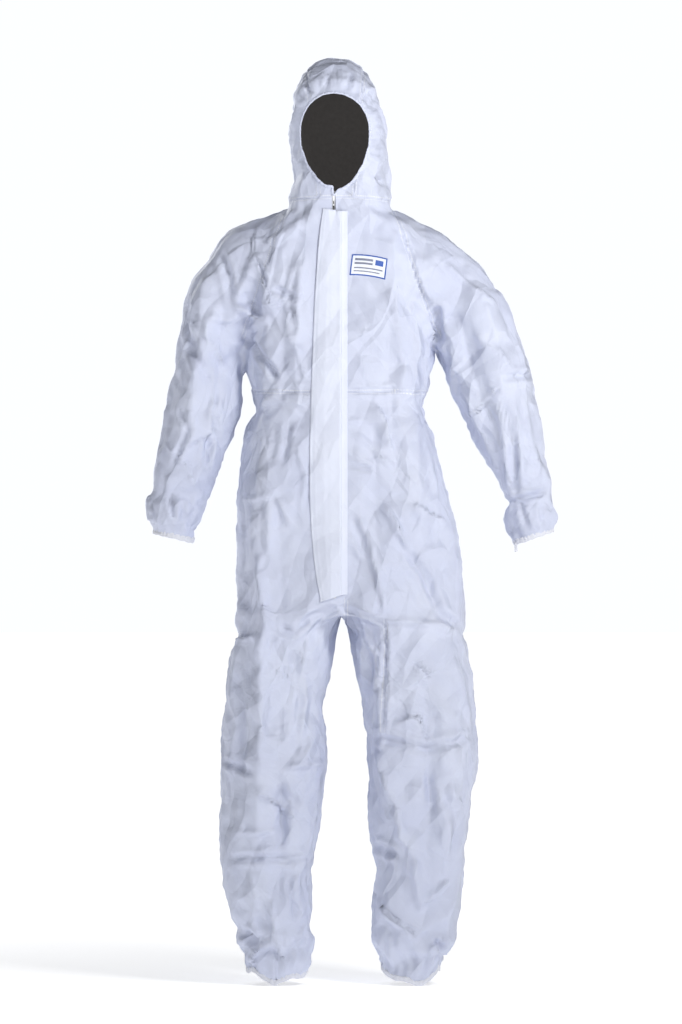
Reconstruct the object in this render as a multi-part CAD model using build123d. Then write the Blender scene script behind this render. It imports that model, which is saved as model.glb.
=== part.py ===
# Hooded chemical protective coverall, standing open as if worn.
# Frame: +Z up, the front faces -Y, the wearer's left is +X. The origin is the centre of the
# neck base, where the suit is carried by its wearer. All sizes in millimetres.
#
# The fabric panels are thin closed shells cut from smooth lofts. Where the cloth folds at a
# limb joint it is a node of its own, so the stiff stretches on each side can turn.
from build123d import *
import math
import os

os.makedirs("parts", exist_ok=True)

# ---------------------------------------------------------------- driving dimensions
T = 1.5                 # cloth thickness with its seam allowance
FRONT_Y0 = -112.0       # centre front at the neck base
FRONT_SLOPE = 28.0 / 740.0   # the centre front is straight, so that the zip runs true
LEAN = math.degrees(math.atan(FRONT_SLOPE))
X_ZIP = -12.0           # zip centre line
ZIP_GAP = 6.0           # half the gap between the two front edges
ZIP_TOP, ZIP_BOTTOM = 20.0, -744.0
Z_NECK = -5.0           # top of the body panels
Z_HOOD = 50.0           # bottom of the stiff part of the hood
Z_RISE = -690.0         # bottom of the stiff part of the trunk
Z_CROTCH = -816.0
GUSSET_T = 2.0
Z_THIGH = -950.0        # top of the stiff thigh
Z_KNEE_T, Z_KNEE_B = -1005.0, -1130.0
Z_HEM = -1468.0
SIDE_Y = 6.0            # plane of the side seams
WRIST_R = 40.0          # outside of the round sleeve end
ANKLE_R = 58.0
FLAP_X0, FLAP_X1 = -53.0, 3.0    # free edge and sewn edge of the storm flap
FLAP_TOP, FLAP_BOTTOM = -12.0, -748.0
FLAP_GAP = 4.0          # clear height under the flap, for the slider and its tab
FLAP_T = 1.5
SLIDER_Z = 14.0         # pull tab pivot at rest
SLIDE = 700.0


def front_y(z):
    return FRONT_Y0 + FRONT_SLOPE * z


# ---------------------------------------------------------------- section tables
# z, centre x, half width, half depth; the centre y follows from the straight front
TRUNK = [
    (6, 0, 95, 90), (-8, 0, 101, 96), (-40, 0, 140, 112), (-100, 0, 172, 125),
    (-200, -1, 183, 130), (-290, -4, 181, 126), (-353, -3, 166, 119), (-388, -4, 159, 116),
    (-439, -3, 178, 122), (-525, 3, 194, 132), (-640, 14, 209, 142), (-720, 18, 214, 146),
    (-816, 20, 215, 142), (-828, 20, 215, 142),
]
# z, centre x, centre y, half width, half depth
LEG_R = [
    (-806, -98, -1, 96, 128), (-818, -98.5, -1, 96, 128), (-870, -113, 0, 99, 118),
    (-950, -125, 0, 95, 110), (-1060, -125, 0, 100, 104), (-1175, -132, 4, 95, 98),
    (-1260, -138, 6, 87, 90), (-1350, -131, 8, 78, 80), (-1405, -124, 9, 67, 68),
    (-1424, -122, 9, 61.5, 61.5), (-1444, -121, 9, 58.5, 58.5), (-1468, -121, 9, 58, 58), (-1476, -121, 9, 58, 58),
]
LEG_L = [
    (-806, 122, -1, 110, 128), (-818, 122.5, -1, 110.5, 128), (-870, 136, 0, 108, 118),
    (-950, 150, 0, 105, 110), (-1060, 158, 0, 105, 104), (-1175, 148, 4, 95, 98),
    (-1260, 151, 6, 85, 90), (-1350, 146, 8, 81, 80), (-1405, 140, 9, 70, 68),
    (-1424, 137.5, 9, 62.5, 61.5), (-1444, 136, 9, 58.5, 58.5), (-1468, 136, 9, 58, 58), (-1476, 136, 9, 58, 58),
]
# z, centre x, front y, back y, half width
HOOD = [
    (-14, 0, -112.5, 76, 97), (-5, 0, -112.2, 78, 96), (20, 2, -111.2, 86, 93),
    (60, 3, -118, 100, 91), (115, 0, -126, 109, 91), (170, -4, -124, 108, 87),
    (215, -8, -112, 104, 79), (248, -9, -92, 88, 64), (268, -9, -62, 62, 42), (279, -9, -19, 21, 14),
]
ARM_R_DIR = (-0.2297, -0.9733)
ARM_L_DIR = (0.3253, -0.9456)
# centre x, z; outward direction x, z; half width, half depth, centre y
CAP_R = [
    (-141, -128, 0.325, 0.9456, 126, 97, 8),
    (-241.5, -234, -0.746, 0.666, 69, 78, 2), (-257, -313.4, -0.9733, 0.2297, 64.5, 72, 0),
]
CAP_L = [
    (141, -128, -0.325, 0.9456, 126, 97, 8),
    (246.5, -233, 0.730, 0.683, 73, 80, 2), (277.2, -304.8, 0.9456, 0.3253, 77.5, 76.5, 0),
]
SLEEVE_R = [
    (-257, -313.4, -0.9733, 0.2297, 64.5, 72, 0), (-266, -375, -0.9733, 0.2297, 69, 74, 0),
    (-283, -440, -0.9733, 0.2297, 66, 69, -2),
    (-301, -497, -0.9733, 0.2297, 59, 60, -4), (-316, -558, -0.9733, 0.2297, 48.5, 49, -6),
    (-321.2, -582, -0.9733, 0.2297, 42.6, 42.8, -6),
    (-325.2, -606, -0.9733, 0.2297, 40.3, 40.3, -6), (-330.1, -634, -0.9733, 0.2297, 40, 40, -6),
]
SLEEVE_L = [
    (277.2, -304.8, 0.9456, 0.3253, 77.5, 76.5, 0), (298, -365, 0.9456, 0.3253, 74, 74, 0),
    (322, -439, 0.9456, 0.3253, 62, 65, -2),
    (343, -497, 0.9456, 0.3253, 51, 54, -4), (358, -554, 0.9456, 0.3253, 44, 46, -6),
    (364.6, -578, 0.9456, 0.3253, 41.6, 42.2, -6),
    (372, -604, 0.9456, 0.3253, 40.2, 40.2, -6), (381.3, -634, 0.9456, 0.3253, 40, 40, -6),
]
EGG = [  # the face opening: x and z round its edge, narrow at the chin
    (-12, 208), (13, 203), (36, 188), (52, 162), (56, 128), (51, 92), (38, 60), (20, 34),
    (-4, 21), (-30, 31), (-52, 56), (-68, 90), (-75, 128), (-72, 160), (-57, 188), (-36, 203),
]


# ---------------------------------------------------------------- helpers
def ring(cx, cy, cz, ux, uz, a, b, n=2.4, count=20):
    pts = []
    for k in range(count):
        t = 2 * math.pi * k / count
        c, s = math.cos(t), math.sin(t)
        p = a * math.copysign(abs(c) ** (2 / n), c)
        q = b * math.copysign(abs(s) ** (2 / n), s)
        pts.append(Vector(cx + ux * p, cy + q, cz + uz * p))
    return Wire([Edge.make_spline(pts, periodic=True)])


def trunk(off=0.0):
    return Solid.make_loft(
        [ring(cx, front_y(z) + b, z, 1, 0, a + off, b + off, 2.6) for z, cx, a, b in TRUNK])


def upright(table, off=0.0, n=2.3, dome=False):
    rows = [ring(cx, cy, z, 1, 0, max(a + off, 2), max(b + off, 2), n) for z, cx, cy, a, b in table]
    return Solid.make_loft(rows)


def tube(rows, off=0.0, round_from=99, ruled=False):
    """A loft through sections standing in planes across x and z."""
    got = []
    for i, (cx, cz, ux, uz, a, b, cy) in enumerate(rows):
        n = 2.0 if i >= round_from else 2.25
        got.append(ring(cx, cy, cz, ux, uz, a + off, b + off, n))
    return Solid.make_loft(got, ruled=ruled)


def keep(shape, point, normal):
    """The part of a shape on the side that normal points to."""
    got = split(shape, bisect_by=Plane(origin=point, z_dir=normal), keep=Keep.TOP)
    return got


def band(shape, p0, n0, p1, n1):
    """Between two planes: past the first along n0, before the second along n1."""
    return keep(keep(shape, p0, n0), p1, tuple(-v for v in n1))


def slab(shape, z_top, z_bottom):
    return keep(keep(shape, (0, 0, z_bottom), (0, 0, 1)), (0, 0, z_top), (0, 0, -1))


def flat_prism(points, y0, y1):
    """A closed outline in x and z, drawn from y0 to y1."""
    wire = Wire([Edge.make_spline([Vector(x, y0, z) for x, z in points], periodic=True)])
    return Solid.extrude(Face(wire), Vector(0, y1 - y0, 0))


def solids_of(shape):
    got = shape.solids() if hasattr(shape, "solids") else [shape]
    return [s for s in got if s.volume > 1.0]


def write(name, shape):
    got = solids_of(shape) if not isinstance(shape, list) else [s for x in shape for s in solids_of(x)]
    body = got[0] if len(got) == 1 else Compound(children=got)
    body.label = name
    export_step(body, f"parts/{name}.step")
    print(f"{name:24s} solids {len(got)} volume {sum(s.volume for s in got):10.0f}", flush=True)


def on_front(shape):
    """Turns a shape built upright at the origin into the leaning plane of the centre front."""
    return Pos(X_ZIP, FRONT_Y0, 0) * (Rot(-LEAN, 0, 0) * shape)


def box(x0, x1, y0, y1, z0, z1):
    return Pos((x0 + x1) / 2, (y0 + y1) / 2, (z0 + z1) / 2) * Box(x1 - x0, y1 - y0, z1 - z0)


# ---------------------------------------------------------------- trunk
trunk_out, trunk_in = trunk(0), trunk(-T)
trunk_shell = trunk_out - trunk_in
RAGLAN_R = ((-141, 0, -128), (0.9456, 0, -0.325))    # point, normal towards the trunk
RAGLAN_L = ((141, 0, -128), (-0.9456, 0, -0.325))
body = slab(trunk_shell, Z_NECK, Z_RISE)
body = keep(body, *RAGLAN_R)
body = keep(body, *RAGLAN_L)
back = keep(body, (0, SIDE_Y, 0), (0, 1, 0))
front = keep(body, (0, SIDE_Y, 0), (0, -1, 0))
write("back_panel", back)
write("front_panel_right", keep(front, (X_ZIP - ZIP_GAP, 0, 0), (-1, 0, 0)))
write("front_panel_left", keep(front, (X_ZIP + ZIP_GAP, 0, 0), (1, 0, 0)))
rise = slab(trunk_shell, Z_RISE, Z_CROTCH)
slot_cut = box(X_ZIP - ZIP_GAP, X_ZIP + ZIP_GAP, -200, 0, ZIP_BOTTOM - 6, Z_RISE + 5)
write("seat_and_rise", rise - slot_cut)
waist = keep(slab(trunk(-T - 0.4) - trunk(-T - 1.6), -382, -394), (0, SIDE_Y + 4, 0), (0, 1, 0))
write("waist_elastic", waist)

# crotch gusset: the plate of cloth between the two leg tops
leg_r_out, leg_r_in = upright(LEG_R), upright(LEG_R, -T)
leg_l_out, leg_l_in = upright(LEG_L), upright(LEG_L, -T)
plate = Face(ring(20, -1, Z_CROTCH - GUSSET_T, 1, 0, 218, 144, 3.0))
gusset = Solid.extrude(plate, Vector(0, 0, GUSSET_T)) - leg_r_in - leg_l_in
write("crotch_gusset", gusset)

# ---------------------------------------------------------------- legs
for side, out, inn in (("right", leg_r_out, leg_r_in), ("left", leg_l_out, leg_l_in)):
    shell = out - inn
    write(f"{side}_leg_top", slab(shell, Z_CROTCH - GUSSET_T, Z_THIGH))
    write(f"{side}_thigh", slab(shell, Z_THIGH, Z_KNEE_T))
    write(f"{side}_knee_fold", slab(shell, Z_KNEE_T, Z_KNEE_B))
    write(f"{side}_lower_leg", slab(shell, Z_KNEE_B, Z_HEM))
    cx = -121 if side == "right" else 136
    hem = Pos(cx, 9, Z_HEM + 7) * (Cylinder(ANKLE_R - T - 1.3, 10) - Cylinder(ANKLE_R - T - 2.6, 12))
    write(f"{side}_ankle_elastic", hem)

# ---------------------------------------------------------------- sleeves
def arm(side, cap_rows, rows, direction):
    d = (direction[0], 0, direction[1])
    for name, pair in (("sleeve_cap", cap_rows[:2]), ("shoulder_fold", cap_rows[1:])):
        write(f"{side}_{name}", tube(pair, 0, ruled=True) - tube(pair, -T, ruled=True))
    lower = tube(rows, 0, round_from=4) - tube(rows, -T, round_from=4)
    top = (rows[0][0], 0, rows[0][1])
    el_p = (top[0] + d[0] * 42, 0, top[2] + d[2] * 42)
    fo_p = (el_p[0] + d[0] * 100, 0, el_p[2] + d[2] * 100)
    write(f"{side}_upper_sleeve", keep(lower, el_p, tuple(-v for v in d)))
    write(f"{side}_elbow_fold", band(lower, el_p, d, fo_p, d))
    write(f"{side}_forearm", keep(lower, fo_p, d))
    last = rows[-1]
    c = (last[0] - d[0] * 7, last[6], last[1] - d[2] * 7)
    place = Plane(origin=c, z_dir=d)
    write(f"{side}_wrist_elastic", place * (Cylinder(WRIST_R - T - 1.3, 10) - Cylinder(WRIST_R - T - 2.6, 12)))
    print(side, "upper", top, "elbow top", el_p, "elbow end", fo_p, "ring", c)
    return c, d


ring_r, dir_r = arm("right", CAP_R, SLEEVE_R, ARM_R_DIR)
ring_l, dir_l = arm("left", CAP_L, SLEEVE_L, ARM_L_DIR)


# finger loops: a narrow flat elastic tape, doubled, sewn at the sleeve end
def finger_loop(c, d, inside):
    r_in, length = 3.0, 24.0
    half = Pos(0, 0, 0) * (Box(2 * r_in + 1.4, 4, length) - Box(2 * r_in, 6, length + 2))
    tip = Pos(0, 0, length / 2) * Rot(90, 0, 0) * (Cylinder(r_in + 0.7, 4) - Cylinder(r_in, 6))
    tip = keep(tip, (0, 0, length / 2), (0, 0, 1))
    loop = half + tip
    sign = -1 if inside else 1
    place = Plane(origin=c, z_dir=tuple(sign * v for v in d), x_dir=(0, 1, 0))
    return place * loop


r_at = WRIST_R + 2.6
ux, uz = SLEEVE_L[-1][2], SLEEVE_L[-1][3]
start_l = (ring_l[0] - ux * r_at + dir_l[0] * 12, ring_l[1] - 0, ring_l[2] - uz * r_at + dir_l[2] * 12)
write("left_finger_loop", finger_loop(start_l, dir_l, False))
ux, uz = SLEEVE_R[-1][2], SLEEVE_R[-1][3]
start_r = (ring_r[0] - ux * r_at + dir_r[0] * (-12), ring_r[1] - 0, ring_r[2] - uz * r_at + dir_r[2] * (-12))
write("right_finger_loop", finger_loop(start_r, dir_r, True))

# ---------------------------------------------------------------- hood
def hood(off=0.0):
    rows = []
    for z, cx, yf, yb, a in HOOD:
        rows.append(ring(cx, (yf + yb) / 2, z + (off if z > 270 else 0), 1, 0,
                         max(a + off, 6), max((yb - yf) / 2 + off, 9), 2.25))
    return Solid.make_loft(rows)


hood_out, hood_in = hood(0), hood(-T)
hood_shell = slab(hood_out, 300, Z_NECK) - slab(hood_in, 300 - T, Z_NECK - 20)
face_cut = flat_prism(EGG, -260, -5)
hood_shell = hood_shell - face_cut
zip_notch = box(X_ZIP - ZIP_GAP, X_ZIP + ZIP_GAP, -200, -60, -30, 60)
neck = slab(hood_shell, Z_HOOD, Z_NECK + 0.0)
write("hood_neck", neck - zip_notch)
upper_hood = keep(hood_shell, (0, 0, Z_HOOD), (0, 0, 1))
crown = keep(keep(upper_hood, (-49, 0, 0), (1, 0, 0)), (33, 0, 0), (-1, 0, 0))
write("hood_crown_panel", max(solids_of(crown), key=lambda v: v.volume))
write("hood_right_panel", keep(upper_hood, (-49, 0, 0), (-1, 0, 0)))
write("hood_left_panel", keep(upper_hood, (33, 0, 0), (1, 0, 0)))
cxm = sum(p[0] for p in EGG) / len(EGG)
czm = sum(p[1] for p in EGG) / len(EGG)
egg_big = [(cxm + (x - cxm) * 1.12, czm + (z - czm) * 1.09) for x, z in EGG]
egg_small = [(cxm + (x - cxm) * 1.02, czm + (z - czm) * 1.015) for x, z in EGG]
face_el = (hood(-T - 0.5) - hood(-T - 1.7)) & (flat_prism(egg_big, -260, -5) - flat_prism(egg_small, -262, -3))
write("face_elastic", keep(face_el, (0, 0, Z_HOOD + 1), (0, 0, 1)))

# ---------------------------------------------------------------- zip and storm flap
# Upright local frame: x across, y = 0 on the outer front surface, z along the zip.
k = 1 / math.cos(math.radians(LEAN))
z_t, z_b = ZIP_TOP * k, ZIP_BOTTOM * k
write("zip_tape_right", on_front(box(-11, -0.9, T + 2.2, T + 2.8, z_b, z_t)))
write("zip_tape_left", on_front(box(0.9, 11, T + 2.2, T + 2.8, z_b, z_t)))
write("zip_teeth_right", on_front(box(-3.2, -0.9, 0.2, T + 2.15, z_b + 3, z_t - 2)))
write("zip_teeth_left", on_front(box(0.9, 3.2, 0.2, T + 2.15, z_b + 3, z_t - 2)))
write("zip_top_stops", on_front(box(-3.6, -0.9, -0.4, T + 2.15, z_t - 1.9, z_t)
                                + box(0.9, 3.6, -0.4, T + 2.15, z_t - 1.9, z_t)))
write("zip_bottom_stop", on_front(box(-4.5, 4.5, -0.8, T + 2.15, z_b - 5, z_b - 0.2)))

sz = (SLIDER_Z - 4) * k
front_plate = box(-4.6, 4.6, -1.4, -0.2, sz - 7, sz + 5)
front_plate = fillet(front_plate.edges().filter_by(Axis.Y), 2.0)
back_plate = box(-4.6, 4.6, T + 3.2, T + 4.2, sz - 7, sz + 5)
back_plate = fillet(back_plate.edges().filter_by(Axis.Y), 2.0)
web = box(-0.4, 0.4, -0.4, T + 3.5, sz + 1, sz + 5)
lug_l = box(-3.2, -2.3, -3.5, -1.3, sz + 1.5, sz + 4.6)
lug_r = box(2.3, 3.2, -3.5, -1.3, sz + 1.5, sz + 4.6)
pin = Pos(0, -2.65, sz + 3.1) * Rot(0, 90, 0) * Cylinder(0.4, 5.4)
write("zip_slider", on_front(front_plate + back_plate + web + lug_l + lug_r + pin))
tab = box(-1.9, 1.9, -3.1, -2.2, sz + 3.1 - 20, sz + 3.1 - 0.6)
tab = fillet(tab.edges().filter_by(Axis.Y), 1.0)
tab = tab + Pos(0, -2.65, sz + 3.1) * Rot(0, 90, 0) * Cylinder(0.85, 3.8)
tab = tab - Pos(0, -2.65, sz + 3.1) * Rot(0, 90, 0) * Cylinder(0.47, 8)
tab = tab - box(-0.9, 0.9, -4, 0, sz - 14.5, sz - 8)
write("zip_pull_tab", on_front(tab))
pivot = on_front(Pos(0, -2.65, sz + 3.1) * Box(1, 1, 1)).center()
print("pull pivot", tuple(round(v, 3) for v in pivot))

fx0, fx1 = FLAP_X0 - X_ZIP, FLAP_X1 - X_ZIP
y_in, y_out = -FLAP_GAP, -FLAP_GAP - FLAP_T
outline = [(fx0 + 7, FLAP_TOP), (fx1 - 0.6, FLAP_TOP - 4), (fx1 - 0.6, FLAP_BOTTOM + 34),
           (fx0 + 14, FLAP_BOTTOM), (fx0 + 4, FLAP_BOTTOM + 3), (fx0 + 3, FLAP_BOTTOM + 200), (fx0, -420), (fx0, -150)]
flap_wire = Wire.make_polygon([Vector(x, y_out, z) for x, z in outline], close=True)
flap = Solid.extrude(Face(flap_wire), Vector(0, FLAP_T, 0))
write("storm_flap", on_front(flap))
write("flap_adhesive_strip", on_front(box(fx0 + 5, fx0 + 17, y_in + 0.05, y_in + 0.55, FLAP_BOTTOM + 40, FLAP_TOP - 20)))
write("flap_seam", on_front(box(fx1, fx1 + 6, y_out, -0.35, FLAP_BOTTOM + 36, FLAP_TOP - 6)))
hinge = on_front(Pos(fx1 - 0.3, y_out - 0.3, 0) * Box(1, 1, 1)).center()
print("flap hinge", tuple(round(v, 3) for v in hinge))

# ---------------------------------------------------------------- labels
patch_tool = Pos(55, -100, -121) * (Rot(0, 10, 0) * Box(68, 80, 42))
write("chest_label", (trunk(0.9) - trunk(0.4)) & patch_tool)
size_tool = box(-17, 17, 20, 140, -62, -24)
write("size_label", (trunk(-T - 0.5) - trunk(-T - 1.1)) & size_tool)
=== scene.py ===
import bpy, bmesh, math
import numpy as np
from mathutils import Vector, Matrix
from mathutils.bvhtree import BVHTree


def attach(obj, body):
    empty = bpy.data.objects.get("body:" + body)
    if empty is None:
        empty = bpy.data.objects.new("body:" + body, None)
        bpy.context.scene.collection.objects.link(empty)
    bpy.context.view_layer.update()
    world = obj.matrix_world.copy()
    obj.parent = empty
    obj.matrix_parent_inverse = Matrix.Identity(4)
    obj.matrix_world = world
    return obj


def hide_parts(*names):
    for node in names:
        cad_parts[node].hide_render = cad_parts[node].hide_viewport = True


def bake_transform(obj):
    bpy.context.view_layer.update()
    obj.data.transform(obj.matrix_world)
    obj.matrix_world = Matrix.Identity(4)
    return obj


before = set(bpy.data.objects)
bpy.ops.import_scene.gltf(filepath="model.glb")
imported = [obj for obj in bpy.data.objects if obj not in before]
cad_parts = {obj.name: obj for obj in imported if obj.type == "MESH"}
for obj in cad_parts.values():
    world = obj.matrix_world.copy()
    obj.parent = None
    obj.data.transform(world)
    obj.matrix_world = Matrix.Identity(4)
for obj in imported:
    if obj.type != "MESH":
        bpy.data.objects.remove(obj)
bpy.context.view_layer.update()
rng = np.random.default_rng(7)

# ------------------------------------------------------------------ tables (millimetres)
PX = 1.91
def P(px, py):
    return np.array([(px - 340) * PX, (205 - py) * PX])
FY0, FS = -112.0, 28.0 / 740.0
def front_y(z):
    return FY0 + FS * z
TRUNK = np.array([  # z, cx, a, b
    (70, 0, 60, 60), (30, 0, 88, 84), (6, 0, 95, 90), (-8, 0, 101, 96), (-40, 0, 140, 112), (-80, 0, 166, 121),
    (-130, 0, 180, 127), (-200, -1, 183, 130), (-290, -4, 179, 127), (-353, -3, 164, 119), (-388, -4, 157, 116),
    (-439, -3, 178, 123), (-525, 3, 194, 133), (-640, 14, 210, 141), (-720, 18, 215, 143), (-770, 20, 215, 136), (-816, 20, 214, 121),
    (-850, 20, 205, 110), (-880, 20, 180, 100)], float)
LEG_R = np.array([  # z, cx, cy, a, b
    (-760, -92, -1, 92, 127), (-818, -98.5, -1, 96, 125), (-838, -105.5, -1, 96.5, 122), (-870, -113, 0, 99, 118), (-905, -118, 0, 97, 113), (-950, -125, 0, 94, 109),
    (-1000, -126, 0, 98, 106), (-1060, -125, 0, 100, 104), (-1120, -128, 2, 98, 101), (-1175, -132, 4, 95.5, 98), (-1260, -138, 6, 87, 90),
    (-1350, -131, 8, 78, 80), (-1405, -124, 9, 68, 68), (-1440, -121, 9, 62, 60), (-1468, -120, 9, 59, 58), (-1520, -120, 9, 59, 58)], float)
LEG_L = np.array([
    (-760, 112, -1, 104, 127), (-818, 122.5, -1, 111, 125), (-838, 130.5, -1, 109.5, 122), (-870, 136, 0, 109, 118), (-905, 143, 0, 108, 113), (-950, 150, 0, 106, 110),
    (-1000, 155, 0, 105, 106), (-1060, 158.5, 0, 105, 104), (-1120, 152, 2, 99, 101), (-1175, 148, 4, 94.5, 98), (-1260, 151, 6, 84, 90),
    (-1350, 146, 8, 83, 80), (-1405, 142, 9, 73.5, 68), (-1440, 137, 9, 62, 60), (-1468, 135, 9, 59, 58), (-1520, 135, 9, 59, 58)], float)
HOOD = np.array([  # z, cx, front y, back y, a
    (-60, 0, -98, 70, 88), (-14, 0, -111, 76, 93), (-5, 0, -111, 78, 92), (20, 2, -111.5, 86, 90), (60, 3, -118, 100, 90), (115, -1, -126, 109, 90),
    (170, -5, -124, 108, 86), (200, -8, -117, 106, 80), (225, -9, -106, 100, 72), (248, -9, -88, 86, 60), (264, -9, -68, 68, 46),
    (274, -9, -44, 46, 30), (279, -9, -15, 18, 12)], float)
# t, lateral, half width, half depth, centre y
ARM_R = dict(O=(-199.0, -134.0), D=(-0.2297, -0.9733), S=-1, rows=np.array([
    (60, -16, 64, 72, 2), (139.6, -12.3, 60.5, 70, 0), (245.7, -4.7, 71, 72, 0), (305, -6, 67, 68, -1), (364.5, -7.5, 61, 62, -4), (425, -8.5, 54, 54, -6),
    (483, -9.3, 46, 46, -6), (500, -5, 41, 41, -6), (513.7, -1, 39, 39, -6), (560, 0, 38, 38, -6)], float))
ARM_L = dict(O=(197.0, -134.0), D=(0.3253, -0.9456), S=1, rows=np.array([
    (56.8, 20.6, 70, 75, 2), (148.5, 22.9, 76, 77, 0), (209.7, 22.5, 78, 78, 0), (269.6, 21.4, 70, 71, 0), (329.7, 20.9, 62.5, 64, -2),
    (391.4, 21.9, 49.5, 54, -5), (430, 20, 44.5, 47, -6), (450.5, 18.5, 43.5, 45, -6), (477.4, 9.2, 46.5, 46, -6), (507, 7.5, 46, 44, -6), (520, 4, 42, 41, -6),
    (528.8, 1, 40, 39, -6), (570, 0, 39, 38, -6)], float))
CAPS_R = [((-92, -84), 76, 4), ((-165, -117), 77, 4), ((-212, -180), 74, 2), ((-241, -262), 62, 0)]
CAPS_L = [((92, -84), 74, 4), ((152, -127), 79, 4), ((207, -168), 74, 2), ((250, -225), 74, 0)]
EGG = np.array([(-12, 208), (13, 203), (36, 188), (52, 162), (56, 128), (51, 92), (38, 60), (20, 34),
    (-4, 21), (-30, 31), (-52, 56), (-68, 90), (-75, 128), (-72, 160), (-57, 188), (-36, 203)], float)


def smin(a, b, k):
    h = np.clip(0.5 + 0.5 * (b - a) / k, 0, 1)
    return b * (1 - h) + a * h - k * h * (1 - h)


def cubic(z, xs, ys):
    """Catmull-Rom style interpolation, monotone enough for these tables; xs rising."""
    m = np.gradient(ys, xs)
    i = np.clip(np.searchsorted(xs, z) - 1, 0, len(xs) - 2)
    h = xs[i + 1] - xs[i]
    t = np.clip((z - xs[i]) / h, 0, 1)
    return ((2 * t**3 - 3 * t**2 + 1) * ys[i] + (t**3 - 2 * t**2 + t) * h * m[i]
            + (-2 * t**3 + 3 * t**2) * ys[i + 1] + (t**3 - t**2) * h * m[i + 1])


def tab(z, rows, col):
    r = rows[np.argsort(rows[:, 0])]
    return cubic(z, r[:, 0], r[:, col])


def super_d(dx, dy, a, b, n):
    r = (np.abs(dx / a) ** n + np.abs(dy / b) ** n) ** (1 / n) + 1e-9
    return (r - 1) * np.where(r > 0, 1, 1) * (a * b) / np.sqrt((b * np.abs(dx / a) / r) ** 2 + (a * np.abs(dy / b) / r) ** 2 + 1e-6) * 0.999


def field(p, which=None):
    x, y, z = p[:, 0], p[:, 1], p[:, 2]
    cx, a, b = (tab(z, TRUNK, c) for c in (1, 2, 3))
    low = np.clip((-752 - z) / 62, 0, 1); low = low * low * (3 - 2 * low)
    tr = super_d(x - cx, y - (front_y(z) + b + 18 * low), a, b, 2.5)
    tr = np.maximum(tr, -(z + 806))
    tr = np.maximum(tr, z - 45)
    out = tr
    yf, yb, ha = tab(z, HOOD, 2), tab(z, HOOD, 3), tab(z, HOOD, 4)
    hd = super_d(x - tab(z, HOOD, 1), y - (yf + yb) / 2, ha, (yb - yf) / 2, 2.25)
    hd = np.maximum(np.maximum(hd, -(z + 55)), z - 279)
    out = smin(out, hd, 14)
    arms = None
    for arm, caps in ((ARM_R, CAPS_R), (ARM_L, CAPS_L)):
        O, D, S = arm["O"], arm["D"], arm["S"]
        t = (x - O[0]) * D[0] + (z - O[1]) * D[1]
        L = (-D[1], D[0]) if True else None
        lat = (x - O[0]) * (-D[1]) + (z - O[1]) * D[0]
        r = arm["rows"]
        d = super_d(lat - tab(t, r, 1), y - tab(t, r, 4), tab(t, r, 2), tab(t, r, 3), 2.15)
        d = np.maximum(d, r[0, 0] + 10 - t)
        for (c0, r0, y0), (c1, r1, y1) in zip(caps[:-1], caps[1:]):
            q0 = np.array([c0[0], y0, c0[1]], float); q1 = np.array([c1[0], y1, c1[1]], float)
            ba = q1 - q0
            h = np.clip(((p - q0) @ ba) / (ba @ ba), 0, 1)
            e = p - (q0 + h[:, None] * ba)
            e[:, 1] *= 0.93
            cd = np.linalg.norm(e, axis=1) - (r0 + (r1 - r0) * h)
            d = smin(d, cd, 22)
        arms = d if arms is None else np.minimum(arms, d)
    if which == "arms":
        return arms - tr
    out = smin(out, arms, 16)
    for leg in (LEG_R, LEG_L):
        cx, cy, a, b = (tab(z, leg, c) for c in (1, 2, 3, 4))
        d = super_d(x - cx, y - cy, a, b, 2.3)
        d = np.maximum(d, z + 775)
        out = smin(out, d, 16)
    return out


def grad(p, e=1.0):
    g = np.zeros_like(p)
    for k in range(3):
        q = p.copy(); q[:, k] += e
        r = p.copy(); r[:, k] -= e
        g[:, k] = field(q) - field(r)
    n = np.linalg.norm(g, axis=1, keepdims=True)
    return g / np.maximum(n, 1e-6), n[:, 0] / (2 * e)


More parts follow.
